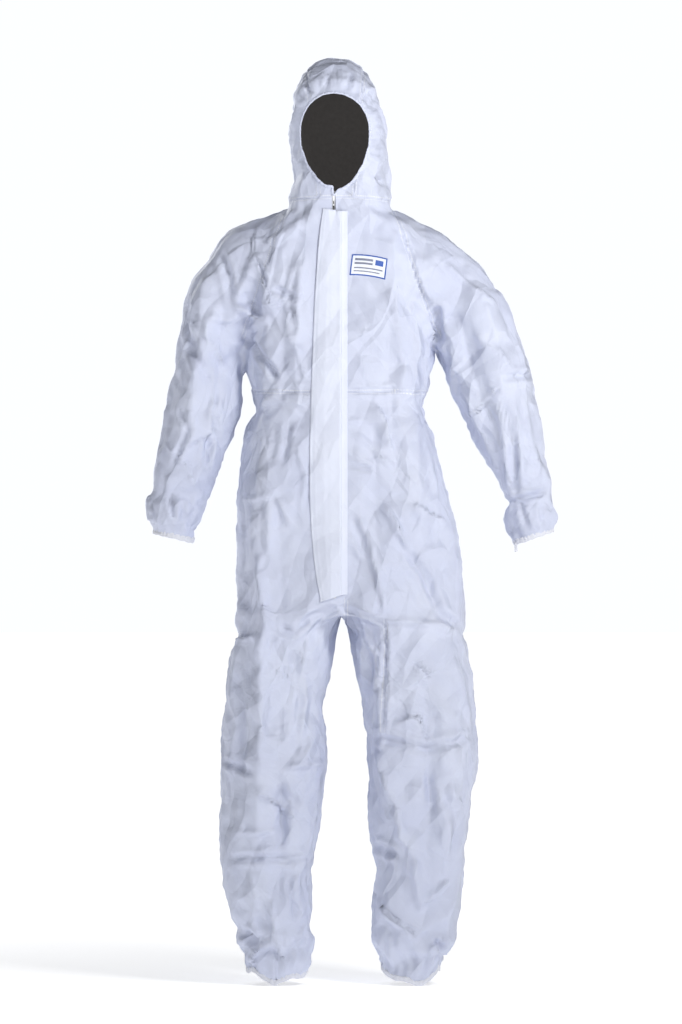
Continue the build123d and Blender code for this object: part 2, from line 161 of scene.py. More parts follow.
def surface_nets(lo, hi, h, level=0.0):
    ax = [np.arange(lo[k], hi[k] + h, h) for k in range(3)]
    G = np.stack(np.meshgrid(*ax, indexing="ij"), -1)
    F = field(G.reshape(-1, 3)).reshape(G.shape[:3]) - level
    nx, ny, nz = F.shape
    acc = np.zeros((nx - 1, ny - 1, nz - 1, 3)); cnt = np.zeros((nx - 1, ny - 1, nz - 1))
    corners = [(i, j, k) for i in (0, 1) for j in (0, 1) for k in (0, 1)]
    for a in corners:
        for b in corners:
            if a < b and sum(abs(a[i] - b[i]) for i in range(3)) == 1:
                fa = F[a[0]:nx - 1 + a[0], a[1]:ny - 1 + a[1], a[2]:nz - 1 + a[2]]
                fb = F[b[0]:nx - 1 + b[0], b[1]:ny - 1 + b[1], b[2]:nz - 1 + b[2]]
                m = (fa < 0) != (fb < 0)
                t = np.where(m, fa / np.where(m, fa - fb, 1), 0)
                pa, pb = np.array(a, float), np.array(b, float)
                acc += np.where(m[..., None], pa + t[..., None] * (pb - pa), 0)
                cnt += m
    inside = cnt > 0
    idx = -np.ones(cnt.shape, int); idx[inside] = np.arange(inside.sum())
    cell = np.argwhere(inside)
    verts = np.array(lo) + h * (cell + acc[inside] / cnt[inside][:, None])
    faces = []
    neg = F < 0
    for axis in range(3):
        sl_a = [slice(1, n - 1) for n in F.shape]; sl_b = list(sl_a)
        sl_a[axis] = slice(0, F.shape[axis] - 1); sl_b[axis] = slice(1, F.shape[axis])
        A, B = neg[tuple(sl_a)], neg[tuple(sl_b)]
        e = np.argwhere(A != B)
        flip = A[tuple(e.T)]
        base = e + np.array([1, 1, 1]); base[:, axis] -= 1
        o = [k for k in range(3) if k != axis]
        q = []
        for du, dv in ((-1, -1), (0, -1), (0, 0), (-1, 0)):
            c = base.copy(); c[:, o[0]] += du; c[:, o[1]] += dv
            q.append(idx[tuple(c.T)])
        q = np.stack(q, 1)
        if axis == 1:
            flip = ~flip
        q = np.where(flip[:, None], q, q[:, ::-1])
        faces.append(q)
    return verts, np.vstack(faces)


def relax(v, f, rounds=10, level=0.0, amount=0.5):
    e = np.vstack([f[:, [0, 1]], f[:, [1, 2]], f[:, [2, 3]], f[:, [3, 0]]])
    for _ in range(rounds):
        s = np.zeros_like(v); c = np.zeros(len(v))
        for a, b in ((0, 1), (1, 0)):
            np.add.at(s, e[:, a], v[e[:, b]]); np.add.at(c, e[:, a], 1)
        v = v + amount * (s / np.maximum(c, 1)[:, None] - v)
        for _ in range(2):
            g, n = grad(v)
            v = v - g * np.clip((field(v) - level) / np.maximum(n, 0.4), -6, 6)[:, None]
    return v


def mesh_object(name, v_mm, faces):
    me = bpy.data.meshes.new(name)
    me.from_pydata((np.asarray(v_mm) / 1000.0).tolist(), [], [list(map(int, q)) for q in faces])
    me.update()
    o = bpy.data.objects.new(name, me)
    bpy.context.scene.collection.objects.link(o)
    return o


def coords(me):
    c = np.zeros(len(me.vertices) * 3); me.vertices.foreach_get("co", c)
    return c.reshape(-1, 3)


def set_coords(me, c):
    me.vertices.foreach_set("co", np.ascontiguousarray(c, dtype=np.float32).ravel()); me.update()


def normals(me):
    c = np.zeros(len(me.vertices) * 3); me.vertices.foreach_get("normal", c)
    return c.reshape(-1, 3)


# ------------------------------------------------------------------ the whole suit as one surface
H = 10.5
V, F = surface_nets((-440, -200, -1530), (480, 200, 300), H)
V = relax(V, F, 8)
suit = mesh_object("suit_surface", V, F)
bm = bmesh.new(); bm.from_mesh(suit.data)


def cut(bm, point_mm, normal, where=None, delete=True):
    """Bisects near the plane and deletes what lies past it, where allowed."""
    geom = [g for g in list(bm.verts) + list(bm.edges) + list(bm.faces)]
    if where is not None:
        faces = [f for f in bm.faces if where(f.calc_center_median() * 1000)]
        es = {e for f in faces for e in f.edges}; vs = {v for f in faces for v in f.verts}
        geom = list(vs) + list(es) + faces
    co = Vector([c / 1000 for c in point_mm])
    bmesh.ops.bisect_plane(bm, geom=geom, dist=0.0012, plane_co=co, plane_no=Vector(normal), clear_outer=False, clear_inner=False)
    if delete:
        n = Vector(normal)
        dead = [f for f in bm.faces if (f.calc_center_median() - co).dot(n) > 1e-6 and (where is None or where(f.calc_center_median() * 1000))]
        bmesh.ops.delete(bm, geom=dead, context="FACES")


cut(bm, (0, 0, -1468), (0, 0, -1))
for arm, end in ((ARM_R, 513.7), (ARM_L, 528.8)):
    O, D = arm["O"], arm["D"]
    c = (O[0] + D[0] * end, 0, O[1] + D[1] * end)
    side = -1 if arm is ARM_R else 1
    cut(bm, c, (D[0], 0, D[1]), where=lambda q, s=side: q.x * s > 262 and -720 < q.z < -520)
# the zip opening in the front
X_ZIP, GAP = -12.0, 3.7
ZT, ZB = 20.0, -744.0
for s in (-1, 1):
    cut(bm, (X_ZIP + s * GAP, 0, 0), (1, 0, 0), where=lambda q: q.y < -40 and abs(q.x - X_ZIP) < 30 and ZB - 30 < q.z < 60, delete=False)
cut(bm, (0, 0, ZB), (0, 0, -1), where=lambda q: q.y < -40 and abs(q.x - X_ZIP) < 16 and ZB - 30 < q.z < ZB + 30, delete=False)
dead = [f for f in bm.faces if f.calc_center_median().y < -0.04 and abs(f.calc_center_median().x * 1000 - X_ZIP) < GAP and ZB < f.calc_center_median().z * 1000 < 60]
bmesh.ops.delete(bm, geom=dead, context="FACES")


def in_egg(x, z, grow=1.0):
    c = EGG.mean(0)
    ang = np.arctan2(EGG[:, 1] - c[1], EGG[:, 0] - c[0]); rad = np.hypot(EGG[:, 0] - c[0], EGG[:, 1] - c[1])
    o = np.argsort(ang); ang, rad = ang[o], rad[o]
    th = np.arctan2(z - c[1], x - c[0])
    r = np.interp(th, np.concatenate([ang - 2 * np.pi, ang, ang + 2 * np.pi]), np.tile(rad, 3))
    return np.hypot(x - c[0], z - c[1]) / (r * grow)


dead = [f for f in bm.faces if f.calc_center_median().y < -0.03 and f.calc_center_median().z > 0.005
        and in_egg(f.calc_center_median().x * 1000, f.calc_center_median().z * 1000) < 1.0]
bmesh.ops.delete(bm, geom=dead, context="FACES")
bmesh.ops.delete(bm, geom=[v for v in bm.verts if not v.link_faces], context="VERTS")
# keep the one large part
seen, best = set(), []
for v in bm.verts:
    if v in seen: continue
    stack, part = [v], []
    seen.add(v)
    while stack:
        w = stack.pop(); part.append(w)
        for e in w.link_edges:
            o = e.other_vert(w)
            if o not in seen: seen.add(o); stack.append(o)
    if len(part) > len(best): best = part
best = set(best)
bmesh.ops.delete(bm, geom=[v for v in bm.verts if v not in best], context="VERTS")
bmesh.ops.triangulate(bm, faces=[f for f in bm.faces if len(f.verts) > 4])
# tidy the edge of the face opening onto its outline
c = EGG.mean(0)
ring = [v for v in bm.verts if v.is_boundary and v.co.z > 0.012 and v.co.y < -0.03 and abs(in_egg(v.co.x * 1000, v.co.z * 1000) - 1) < 0.35
        and not (abs(v.co.x * 1000 - X_ZIP) < GAP + 1 and v.co.z < 0.03)]
for v in ring:
    for _ in range(3):
        r = in_egg(v.co.x * 1000, v.co.z * 1000)
        v.co.x = (c[0] + (v.co.x * 1000 - c[0]) / r) / 1000; v.co.z = (c[1] + (v.co.z * 1000 - c[1]) / r) / 1000
        q = np.array([[v.co.x, v.co.y, v.co.z]]) * 1000
        g, n = grad(q); f0 = field(q)[0]
        if abs(g[0, 1]) > 0.2: v.co.y -= (f0 / max(n[0], 0.4) / g[0, 1]) / 1000
bmesh.ops.recalc_face_normals(bm, faces=bm.faces)
bm.to_mesh(suit.data); bm.free()
print("suit base", len(suit.data.vertices), len(suit.data.polygons))
if True:
    c0 = coords(suit.data)
    # outward normals
    n0 = normals(suit.data)
    g, _ = grad(c0 * 1000)
    if (n0 * g).sum(1).mean() < 0:
        suit.data.flip_normals()

# ------------------------------------------------------------------ cloth simulation
END_R = np.array([ARM_R["O"][0] + ARM_R["D"][0] * 513.7, ARM_R["O"][1] + ARM_R["D"][1] * 513.7])
END_L = np.array([ARM_L["O"][0] + ARM_L["D"][0] * 528.8, ARM_L["O"][1] + ARM_L["D"][1] * 528.8])


def arm_t(q):
    """Distance still to go to the sleeve end, on either sleeve; 1000 elsewhere."""
    out = np.full(len(q), 1e3)
    for arm, end, s in ((ARM_R, END_R, -1), (ARM_L, END_L, 1)):
        D = arm["D"]
        t = (end[0] - q[:, 0]) * D[0] + (end[1] - q[:, 2]) * D[1]
        lat = (q[:, 0] - arm["O"][0]) * (-D[1]) + (q[:, 2] - arm["O"][1]) * D[0]
        on = (np.abs(lat) < 110) & (q[:, 0] * s > 225) & (q[:, 2] < -150) & (q[:, 2] > -700)
        out = np.where(on, t, out)
    return out


q0 = coords(suit.data) * 1000
x, y, z = q0.T
to_cuff = arm_t(q0)
egg = in_egg(x, z)
pin = np.full(len(q0), 0.27)
grow = np.full(len(q0), 0.014)           # how much more cloth there is than the smooth shape needs
grow = np.where(to_cuff < 420, 0.026, grow)
grow = np.where(to_cuff < 70, 0.10, grow)
grow = np.where(z < -820, 0.016, grow)
grow = np.where(z < -1380, 0.09, grow)
grow = np.where((z > 0) & (y < 20), 0.05, grow)
grow = np.where((y > 0) & (np.abs(z + 388) < 60) & (to_cuff > 900), 0.09, grow)
armpit = np.minimum(np.hypot(x + 195, z + 275), np.hypot(x - 195, z + 275))
grow = np.maximum(grow, 0.085 * np.exp(-(armpit / 60) ** 2))
grow = np.maximum(grow, 0.10 * np.exp(-(np.hypot(x - 12, z + 830) / 80) ** 2))
front_zip = (y < -40) & (np.abs(x - X_ZIP) < 46) & (z < 24) & (z > -760)
pin = np.where(front_zip, 0.72, pin); grow = np.where(front_zip, 0.012, grow)
edge = (y < -40) & (np.abs(x - X_ZIP) < 17) & (z < 24) & (z > -756)
pin = np.where(edge, 1.0, pin); grow = np.where(edge, 0.0, grow)
rim = ((egg < 1.07) & (y < -20) & (z > 5)) | (to_cuff < 12) | (z < -1456)
pin = np.where(rim, 1.0, pin); grow = np.where(rim, 0.02, grow)
waist_el = (y > 10) & (np.abs(z + 388) < 7) & (to_cuff > 900)
pin = np.where(waist_el, 0.9, pin)
top = (z > 235)
pin = np.where(top, np.maximum(pin, 0.55), pin)
noise = rng.random(len(q0))
GMAX = 0.17
gp = suit.vertex_groups.new(name="pin"); gs = suit.vertex_groups.new(name="grow")
for i in range(len(q0)):
    gp.add([i], float(pin[i]), "REPLACE"); gs.add([i], float(1 - grow[i] / GMAX), "REPLACE")


def run_cloth(obj, frames, gravity=1.0):
    m = obj.modifiers.new("cloth", "CLOTH"); s = m.settings
    s.quality = 5; s.mass = 0.12; s.air_damping = 2.0
    s.tension_stiffness = 25; s.compression_stiffness = 25; s.shear_stiffness = 14; s.bending_stiffness = 16.0
    s.tension_damping = 6; s.compression_damping = 6; s.shear_damping = 6; s.bending_damping = 0.8
    s.vertex_group_mass = "pin"; s.pin_stiffness = 1.0
    s.vertex_group_shrink = "grow"; s.shrink_min = -GMAX; s.shrink_max = 0.0
    s.effector_weights.gravity = gravity
    m.collision_settings.use_collision = True; m.collision_settings.distance_min = 0.003; m.collision_settings.collision_quality = 2
    m.collision_settings.use_self_collision = False
    m.point_cache.frame_start = 1; m.point_cache.frame_end = frames
    sc = bpy.context.scene; sc.frame_start = 1; sc.frame_end = frames
    for f in range(1, frames + 1):
        sc.frame_set(f)
    dg = bpy.context.evaluated_depsgraph_get()
    got = obj.evaluated_get(dg).to_mesh()
    c = coords(got).copy()
    obj.evaluated_get(dg).to_mesh_clear()
    obj.modifiers.clear()
    sc.frame_set(1)
    return c


# a small random start, so that the extra cloth buckles both ways
n0 = normals(suit.data)
start = coords(suit.data)
bump = rng.normal(0, 1.0, len(start)) * (pin < 0.99)
set_coords(suit.data, start + n0 * bump[:, None] * 0.0008)
bv, bf = surface_nets((-440, -200, -1530), (480, 200, 300), 20.0, level=-20.0)
inner = mesh_object("inner_form", bv, bf)
inner.modifiers.new("c", "COLLISION"); inner.collision.thickness_outer = 0.004
done = run_cloth(suit, 40)
bpy.data.objects.remove(inner)
bad = ~np.isfinite(done).all(1)
done[bad] = start[bad]
set_coords(suit.data, done)
suit.vertex_groups.clear()

# ------------------------------------------------------------------ finer mesh with creases
m = suit.modifiers.new("fine", "SUBSURF"); m.levels = 1; m.boundary_smooth = "PRESERVE_CORNERS"
dg = bpy.context.evaluated_depsgraph_get()
fine = bpy.data.meshes.new_from_object(suit.evaluated_get(dg))
suit.modifiers.clear(); suit.data = fine
print("fine", len(fine.vertices), len(fine.polygons))
C = coords(fine) * 1000
REST = C.copy()


def hash01(i, j, k, seed):
    h = (i * 73856093) ^ (j * 19349663) ^ (k * 83492791) ^ (seed * 2654435761)
    h = (h ^ (h >> 13)) * 1274126177
    return ((h ^ (h >> 16)) & 0xFFFFF) / float(0xFFFFF)


def soft_noise(p, size, seed):
    """Smooth value noise, -1 to 1."""
    u = p / size
    i = np.floor(u).astype(np.int64); f = u - i; f = f * f * (3 - 2 * f)
    out = 0
    for a in (0, 1):
        for b in (0, 1):
            for c in (0, 1):
                w = (f[:, 0] if a else 1 - f[:, 0]) * (f[:, 1] if b else 1 - f[:, 1]) * (f[:, 2] if c else 1 - f[:, 2])
                out = out + w * hash01(i[:, 0] + a, i[:, 1] + b, i[:, 2] + c, seed)
    return out * 2 - 1


def facets(p, size, seed, warp=0.5):
    """Continuous noise made of flat facets, as crumpled paper has, -1 to 1."""
    r = np.random.default_rng(seed)
    q, _ = np.linalg.qr(r.normal(size=(3, 3)))
    p = p + warp * size * np.stack([soft_noise(p, size * 1.7, seed + k) for k in (11, 12, 13)], 1)
    u = (p @ q) / size
    i = np.floor(u).astype(np.int64); f = u - i
    order = np.argsort(-f, axis=1)
    n = len(p); ar = np.arange(n)
    cur = i.copy(); val = 0
    prev = np.ones(n)
    for k in range(4):
        nxt = f[ar, order[:, k]] if k < 3 else np.zeros(n)
        val = val + (prev - nxt) * hash01(cur[:, 0], cur[:, 1], cur[:, 2], seed)
        prev = nxt
        if k < 3:
            cur = cur.copy(); cur[ar, order[:, k]] += 1
    return val * 2 - 1


def polyline(p2, pts):
    """Signed distance to a polyline, and how far along it, 0 to 1."""
    pts = np.asarray(pts, float)
    seg = np.diff(pts, axis=0); ln = np.linalg.norm(seg, axis=1); cum = np.concatenate([[0], np.cumsum(ln)])
    best = np.full(len(p2), 1e9); sd = np.zeros(len(p2)); al = np.zeros(len(p2))
    for k in range(len(seg)):
        w = p2 - pts[k]
        h = np.clip((w @ seg[k]) / max(ln[k] ** 2, 1e-9), 0, 1)
        d = w - h[:, None] * seg[k]
        dist = np.linalg.norm(d, axis=1)
        side = np.sign(seg[k][0] * w[:, 1] - seg[k][1] * w[:, 0])
        m = dist < best
        best = np.where(m, dist, best); sd = np.where(m, dist * side, sd); al = np.where(m, (cum[k] + h * ln[k]) / cum[-1], al)
    return sd, al


# kind, height, width, points in the front view: R ridge, V valley, L/S a lapped fold whose high side is left/right of its direction
CREASES = [
    ("T", 9, 34, (262, 408), (263, 496), (263, 560), (268, 622), (264, 660), (262, 724), (260, 790), (256, 860)), ("T", -6, 30, (283, 770), (284, 852), (280, 910)),
    ("T", -5, 26, (291, 640), (300, 700), (303, 760)), ("T", 8, 34, (402, 300), (408, 393), (414, 470), (420, 560)), ("T", -5, 30, (372, 410), (376, 500), (380, 560)),
    ("T", 8, 30, (386, 640), (384, 740), (392, 800), (412, 850), (418, 910)), ("T", 6, 34, (446, 640), (452, 740), (446, 830), (440, 900)), ("T", -5, 26, (424, 660), (428, 760), (430, 850)),
    ("T", 8, 32, (205, 260), (205, 330), (192, 400), (180, 470)), ("T", -5, 24, (226, 300), (222, 360), (204, 420)), ("T", 8, 34, (470, 270), (492, 340), (506, 410), (520, 480)),
    ("T", -5, 26, (452, 300), (474, 380), (496, 440)), ("T", 7, 34, (282, 232), (268, 300), (272, 370)), ("T", 5, 26, (300, 250), (298, 330), (296, 388)), ("T", 6, 30, (238, 580), (240, 640), (234, 720)),
    ("V", 2.5, 7, (328, 77), (326, 96)), ("V", 2.5, 7, (352, 73), (346, 96)), ("V", 2.5, 7, (304, 86), (314, 99)), ("V", 2, 6, (366, 172), (384, 189)),
    ("V", 2, 6, (300, 158), (310, 150)), ("V", 2, 6, (302, 178), (316, 168)), ("V", 2, 6, (312, 192), (322, 182)), ("R", 2, 7, (340, 70), (338, 94)), ("V", 2, 6, (372, 92), (362, 104)),
    ("L", 4, 16, (390, 217), (409, 249), (420, 286), (437, 314)), ("V", 5, 11, (426, 323), (437, 312), (439, 345)), ("R", 4, 12, (409, 300), (428, 322), (434, 352)),
    ("R", 5, 13, (234, 307), (263, 323), (238, 335)), ("V", 5, 10, (238, 338), (254, 345), (281, 384)), ("R", 4, 10, (261, 408), (281, 393)),
    ("L", 4, 16, (258, 221), (254, 254), (233, 304)), ("R", 5, 13, (255, 253), (276, 279)), ("S", 4, 14, (254, 255), (274, 303), (287, 317)),
    ("V", 3, 9, (274, 288), (305, 303)), ("R", 4, 11, (233, 304), (263, 323)), ("R", 5, 14, (309, 218), (289, 236), (265, 249)), ("V", 3, 10, (300, 262), (292, 300), (296, 340)),
    ("V", 4, 12, (222, 249), (228, 280), (234, 308)), ("R", 4, 12, (210, 315), (233, 326)), ("V", 5, 12, (185, 315), (199, 361), (215, 390)),
    ("R", 5, 12, (210, 315), (210, 342), (229, 370)), ("S", 5, 14, (229, 371), (217, 375), (215, 395), (211, 432), (174, 455)), ("V", 5, 10, (210, 434), (206, 473)),
    ("R", 4, 9, (199, 300), (190, 340), (175, 380)), ("V", 4, 9, (180, 400), (190, 430), (172, 470)), ("R", 4, 9, (163, 440), (185, 462), (196, 488)),
    ("S", 4, 9, (149, 491), (154, 537)), ("V", 3, 7, (170, 495), (176, 520)), ("V", 3, 7, (185, 500), (184, 524)),
    ("V", 2.5, 8, (282, 393), (312, 391)), ("V", 2.2, 7, (345, 392), (402, 391)), ("R", 2.2, 8, (345, 421), (378, 424)), ("R", 3, 10, (262, 400), (310, 404)),
    ("V", 4, 13, (263, 496), (264, 528), (263, 560)), ("R", 3, 9, (240, 501), (277, 495)), ("R", 4, 11, (277, 495), (295, 528)), ("V", 3, 11, (290, 420), (282, 470)),
    ("R", 4, 15, (390, 284), (398, 340), (402, 393)), ("S", 4, 12, (373, 401), (385, 422), (393, 456)), ("V", 3, 9, (344, 464), (373, 471)), ("R", 3, 11, (350, 430), (372, 446), (392, 470)),
    ("S", 4, 11, (407, 502), (448, 522)), ("R", 4, 12, (380, 498), (398, 530), (411, 558)), ("V", 3.5, 12, (351, 515), (370, 560)), ("R", 3, 11, (420, 440), (432, 480), (436, 520)),
    ("R", 4, 10, (449, 374), (467, 359)), ("L", 6, 13, (470, 417), (485, 400), (500, 386)), ("V", 4, 10, (500, 379), (535, 374)), ("V", 5, 11, (501, 388), (510, 440), (518, 502)),
    ("R", 5, 12, (470, 330), (490, 350), (512, 372)), ("V", 4, 10, (455, 390), (478, 440), (497, 480)), ("R", 4, 10, (520, 390), (530, 440), (540, 480)), ("R", 4, 10, (440, 260), (470, 290), (498, 310)),
    ("V", 4, 8, (505, 504), (525, 497), (547, 490)), ("V", 3, 7, (520, 505), (526, 525)), ("V", 3, 7, (540, 500), (541, 522)),
    ("R", 6, 16, (263, 540), (264, 578), (271, 622), (266, 638), (261, 685), (263, 724), (259, 771)), ("V", 4, 13, (271, 622), (294, 631), (322, 611)),
    ("R", 4, 11, (238, 642), (265, 634)), ("R", 3.5, 10, (315, 634), (342, 624)), ("V", 3, 8, (282, 664), (289, 678)), ("V", 4, 11, (222, 758), (259, 771)),
    ("R", 4, 11, (284, 764), (327, 760)), ("L", 6, 13, (254, 785), (282, 803), (298, 822)), ("V", 4, 13, (283, 775), (283, 852)), ("R", 4, 11, (232, 831), (282, 827)),
    ("V", 4, 11, (229, 854), (315, 856)), ("V", 7, 13, (241, 928), (257, 940), (267, 934)), ("S", 6, 11, (267, 934), (248, 965)), ("R", 5, 12, (289, 975), (276, 930), (268, 890)),
    ("R", 4, 12, (300, 640), (306, 700), (302, 760)), ("V", 4, 12, (240, 660), (246, 720), (238, 780)), ("R", 4, 12, (250, 860), (256, 900), (250, 930)), ("V", 4, 11, (292, 870), (296, 920)),
    ("R", 5, 13, (342, 586), (359, 611), (380, 618), (439, 624), (464, 632)), ("R", 4, 12, (366, 540), (380, 574), (384, 620)), ("V", 4, 12, (397, 540), (422, 572), (439, 611), (462, 630)),
    ("V", 3, 7, (385, 620), (386, 731)), ("S", 5, 12, (387, 720), (418, 714), (428, 745)), ("V", 4, 12, (370, 731), (426, 747), (476, 733)),
    ("R", 6, 14, (376, 743), (387, 773), (399, 800), (401, 833), (413, 848)), ("R", 5, 13, (413, 848), (420, 903), (417, 915)), ("V", 4, 11, (370, 842), (399, 854)),
    ("S", 5, 11, (376, 902), (403, 921), (420, 938)), ("R", 4, 11, (420, 902), (449, 875)), ("V", 3.5, 11, (430, 770), (430, 804)), ("V", 6, 10, (432, 938), (445, 946)),
    ("V", 4, 12, (340, 600), (352, 625), (366, 660), (372, 700)), ("R", 3.5, 11, (352, 640), (380, 660), (378, 690)), ("R", 4, 12, (450, 650), (462, 700), (470, 726)), ("V", 3.5, 12, (440, 780), (452, 820), (448, 860)),
    ("V", 3, 8, (410, 660), (432, 676)), ("R", 3, 8, (330, 500), (352, 508)), ("R", 3, 10, (296, 440), (306, 480), (300, 520)), ("R", 3, 10, (284, 330), (300, 352), (308, 388)),
]


def profile(kind, d, w):
    a = np.abs(d) / w
    if kind == "R":
        return np.maximum(0, 1 - a) ** 1.4
    if kind == "V":
        return -np.maximum(0, 1 - a) ** 1.4 + 0.45 * np.exp(-((a - 1.25) / 0.5) ** 2)
    if kind == "T":
        return np.maximum(0, 1 - a)
    if kind == "S":
        d = -d
    return np.where(d > 0, np.maximum(0, 1 - d / (1.8 * w)), -0.5 * np.maximum(0, 1 + d / (0.5 * w)) + 1.0 * np.maximum(0, 1 + d / (0.22 * w)))


def creases(p, facing, flip=False, scale=1.0, shift=(0, 0)):
    out = np.zeros(len(p))
    p2 = p[:, [0, 2]].copy()
    if flip:
        p2[:, 0] = 24 - p2[:, 0] + shift[0]; p2[:, 1] = p2[:, 1] + shift[1]
    jit = np.stack([soft_noise(p, 34, 3), soft_noise(p, 34, 4)], 1) * 3.0
    for kind, hgt, wid, *pts in CREASES:
        q = [P(a, b) for a, b in pts]
        d, s = polyline(p2 + jit, q)
        if not (np.abs(d) < wid * 3).any():
            continue
        end = np.clip(np.minimum(s, 1 - s) / 0.22, 0, 1)
        end = end * end * (3 - 2 * end)
        lit = np.abs(d) < wid * 3
        out += np.where(lit, scale * hgt * profile(kind, d, wid * (0.65 + 0.35 * end)) * end, 0)
    return out * facing


N = normals(fine)
front = np.clip((-N[:, 1] - 0.05) / 0.35, 0, 1)
back = np.clip((N[:, 1] - 0.05) / 0.35, 0, 1)
ex, ey, ez = REST.T
cuffd = arm_t(REST)
egg = in_egg(ex, ez)
calm = np.ones(len(REST))
zipn = (ey < -40) & (ez < 26) & (ez > -765)
calm *= np.where(zipn, np.clip((np.abs(ex - X_ZIP) - 8) / 40, 0.0, 1), 1)
calm *= np.where((ey < -20) & (ez > 0), np.clip((egg - 1.0) / 0.25, 0.1, 1), 1)
calm *= np.clip(cuffd / 25, 0.15, 1) * np.clip((ez + 1468) / 25, 0.15, 1)
tall = REST * np.array([1.0, 1.0, 0.55])
onarm = np.clip((430 - cuffd) / 60, 0, 1)
hoodish = np.clip((ez - 5) / 30, 0, 1)
f1 = facets(REST * [1, 1, 0.36], 84, 21, 0.3); f2 = facets(REST * [1, 1, 0.5], 46, 22, 0.3); f3 = facets(REST * [1, 1, 0.7], 26, 23); f4 = facets(REST, 13, 24)
level = 0.75 + 0.5 * soft_noise(REST, 160, 31)
level = np.clip(level, 0.35, 1.3)
amount = 3.4 * f1 + 1.1 * f2 * level + 0.4 * f3 * level + 0.15 * f4 * level
amount *= (1 - 0.7 * hoodish) * (1 + 0.1 * onarm)
# the back and the sides have folds of their own kind
amount += creases(REST, front, scale=1.9) + creases(REST, back, flip=True, scale=1.25, shift=(7, -11))
# gathers at the elastic edges: pleats that run away from the edge
az = np.arctan2(ey - 9, np.where(ex < 12, ex + 120, ex - 135))
for dist, reach, turns, amp in ((ez + 1468, 62, 17, 3.4),):
    wob = soft_noise(REST, 40, 41) * 2.0
    amount += np.where(ez < -1390, amp * np.sin(az * turns + wob * 1.6) * np.exp(-np.maximum(dist, 0) / reach) * np.clip(dist / 10, 0.25, 1), 0)
for arm, cy0 in ((ARM_R, -6), (ARM_L, -6)):
    O, D = arm["O"], arm["D"]
    lat = (ex - O[0]) * (-D[1]) + (ez - O[1]) * D[0]
    aa = np.arctan2(ey - cy0, lat)
    on = (cuffd < 120) & (ex * arm["S"] > 0)
    amount += np.where(on, 2.6 * np.sin(aa * 15 + soft_noise(REST, 30, 42) * 3.2) * np.exp(-np.maximum(cuffd, 0) / 40) * np.clip(cuffd / 9, 0.25, 1), 0)
ce = EGG.mean(0)
ea = np.arctan2(ez - ce[1], ex - ce[0])
ed = (egg - 1) * 85
amount += np.where((ey < 30) & (ez > -5) & (egg < 2.2), 2.2 * np.sin(ea * 36 + soft_noise(REST, 26, 43) * 2.6) * np.exp(-np.maximum(ed, 0) / 26) * np.clip(ed / 5, 0.3, 1), 0)
wd = np.abs(ez + 388)
onb = (ey > 8) & (cuffd > 900)
amount += np.where(onb & (wd < 60), 3.2 * np.sin(ex / 4.6 + soft_noise(REST, 45, 44) * 3.0) * np.exp(-wd / 22) * np.clip(np.abs(wd) / 5, 0.3, 1) * np.clip((ey - 8) / 40, 0, 1), 0)
amount *= calm
C2 = REST + N * amount[:, None]
set_coords(fine, C2 / 1000)
C2 = coords(fine) * 1000
low = np.clip((-1425 - C2[:, 2]) / 43, 0, 1) ** 1.3
for side_, ph, cx_ in ((-1, 0.4, -120), (1, 1.9, 135)):
    on = (C2[:, 0] - 12) * side_ > 0
    th = np.arctan2(C2[:, 1] - 9, C2[:, 0] - cx_)
    front_dip = np.exp(-((np.angle(np.exp(1j * (th + math.pi / 2 - 0.25 * side_)))) / 0.8) ** 2)
    C2[:, 2] += np.where(on, low * (7 * np.sin(2 * th + ph) + 4.5 * np.sin(5 * th + 2 * ph) + 6 - 17 * front_dip), 0)
    C2[:, 0] += np.where(on, -low * 5 * np.sign(C2[:, 0] - cx_) * np.abs(np.sin(3 * th + ph)), 0)
# the crotch is pulled up between the legs
up = np.where(C2[:, 2] > -816, np.clip((-750 - C2[:, 2]) / 66, 0, 1), 1 - np.clip((-816 - C2[:, 2]) / 170, 0, 1))
C2[:, 2] += 27 * np.exp(-((C2[:, 0] - 8) / 62) ** 2) * up * up * (3 - 2 * up)
set_coords(fine, C2 / 1000)
N2 = normals(fine)

# ------------------------------------------------------------------ seams, as distances that the material and the shape read
INF = 1e3
RAG = [((-141.0, -128.0), (0.9456, -0.325), -1), ((141.0, -128.0), (-0.9456, -0.325), 1)]
seam = np.full(len(REST), INF); seam_s = np.zeros(len(REST))


def add_seam(d, s, on):
    global seam, seam_s
    d = np.where(on, np.abs(d), INF)
    m = d < seam
    seam_s = np.where(m, s, seam_s); seam = np.where(m, d, seam)


for (px_, pz_), (nx_, nz_), sd_ in RAG:
    dd = (ex - px_) * nx_ + (ez - pz_) * nz_
    add_seam(dd, ez * 1.05, (ex * sd_ > 80) & (ez < 4) & (ez > -258))
arms_f = field(REST, "arms")
sleeve = ((arms_f < 0) & (ez < -200)) | (((ex + 141) * -0.9456 + (ez + 128) * 0.325 > 0) & (ex < 0) & (ez > -230) & (ez < 5)) | (((ex - 141) * 0.9456 + (ez + 128) * 0.325 > 0) & (ex > 0) & (ez > -230) & (ez < 5))
sleeve &= cuffd < 900
sleeve |= ((((ex + 141) * -0.9456 + (ez + 128) * 0.325 > 0) & (ex < 0)) | (((ex - 141) * 0.9456 + (ez + 128) * 0.325 > 0) & (ex > 0))) & (ez > -230) & (ez < 0)
add_seam(ey - 6, ez, (~sleeve) & (ez < -250) & (ez > -1466) & (np.abs(N[:, 0]) > 0.4))
for arm in (ARM_R, ARM_L):
    O, D = arm["O"], arm["D"]
    lat = (ex - O[0]) * (-D[1]) + (ez - O[1]) * D[0]
    add_seam(ey - 4, cuffd, sleeve & (lat * arm["S"] < 0) & (ex * arm["S"] > 0) & (ez < -255) & (cuffd > 2) & (cuffd < 900))
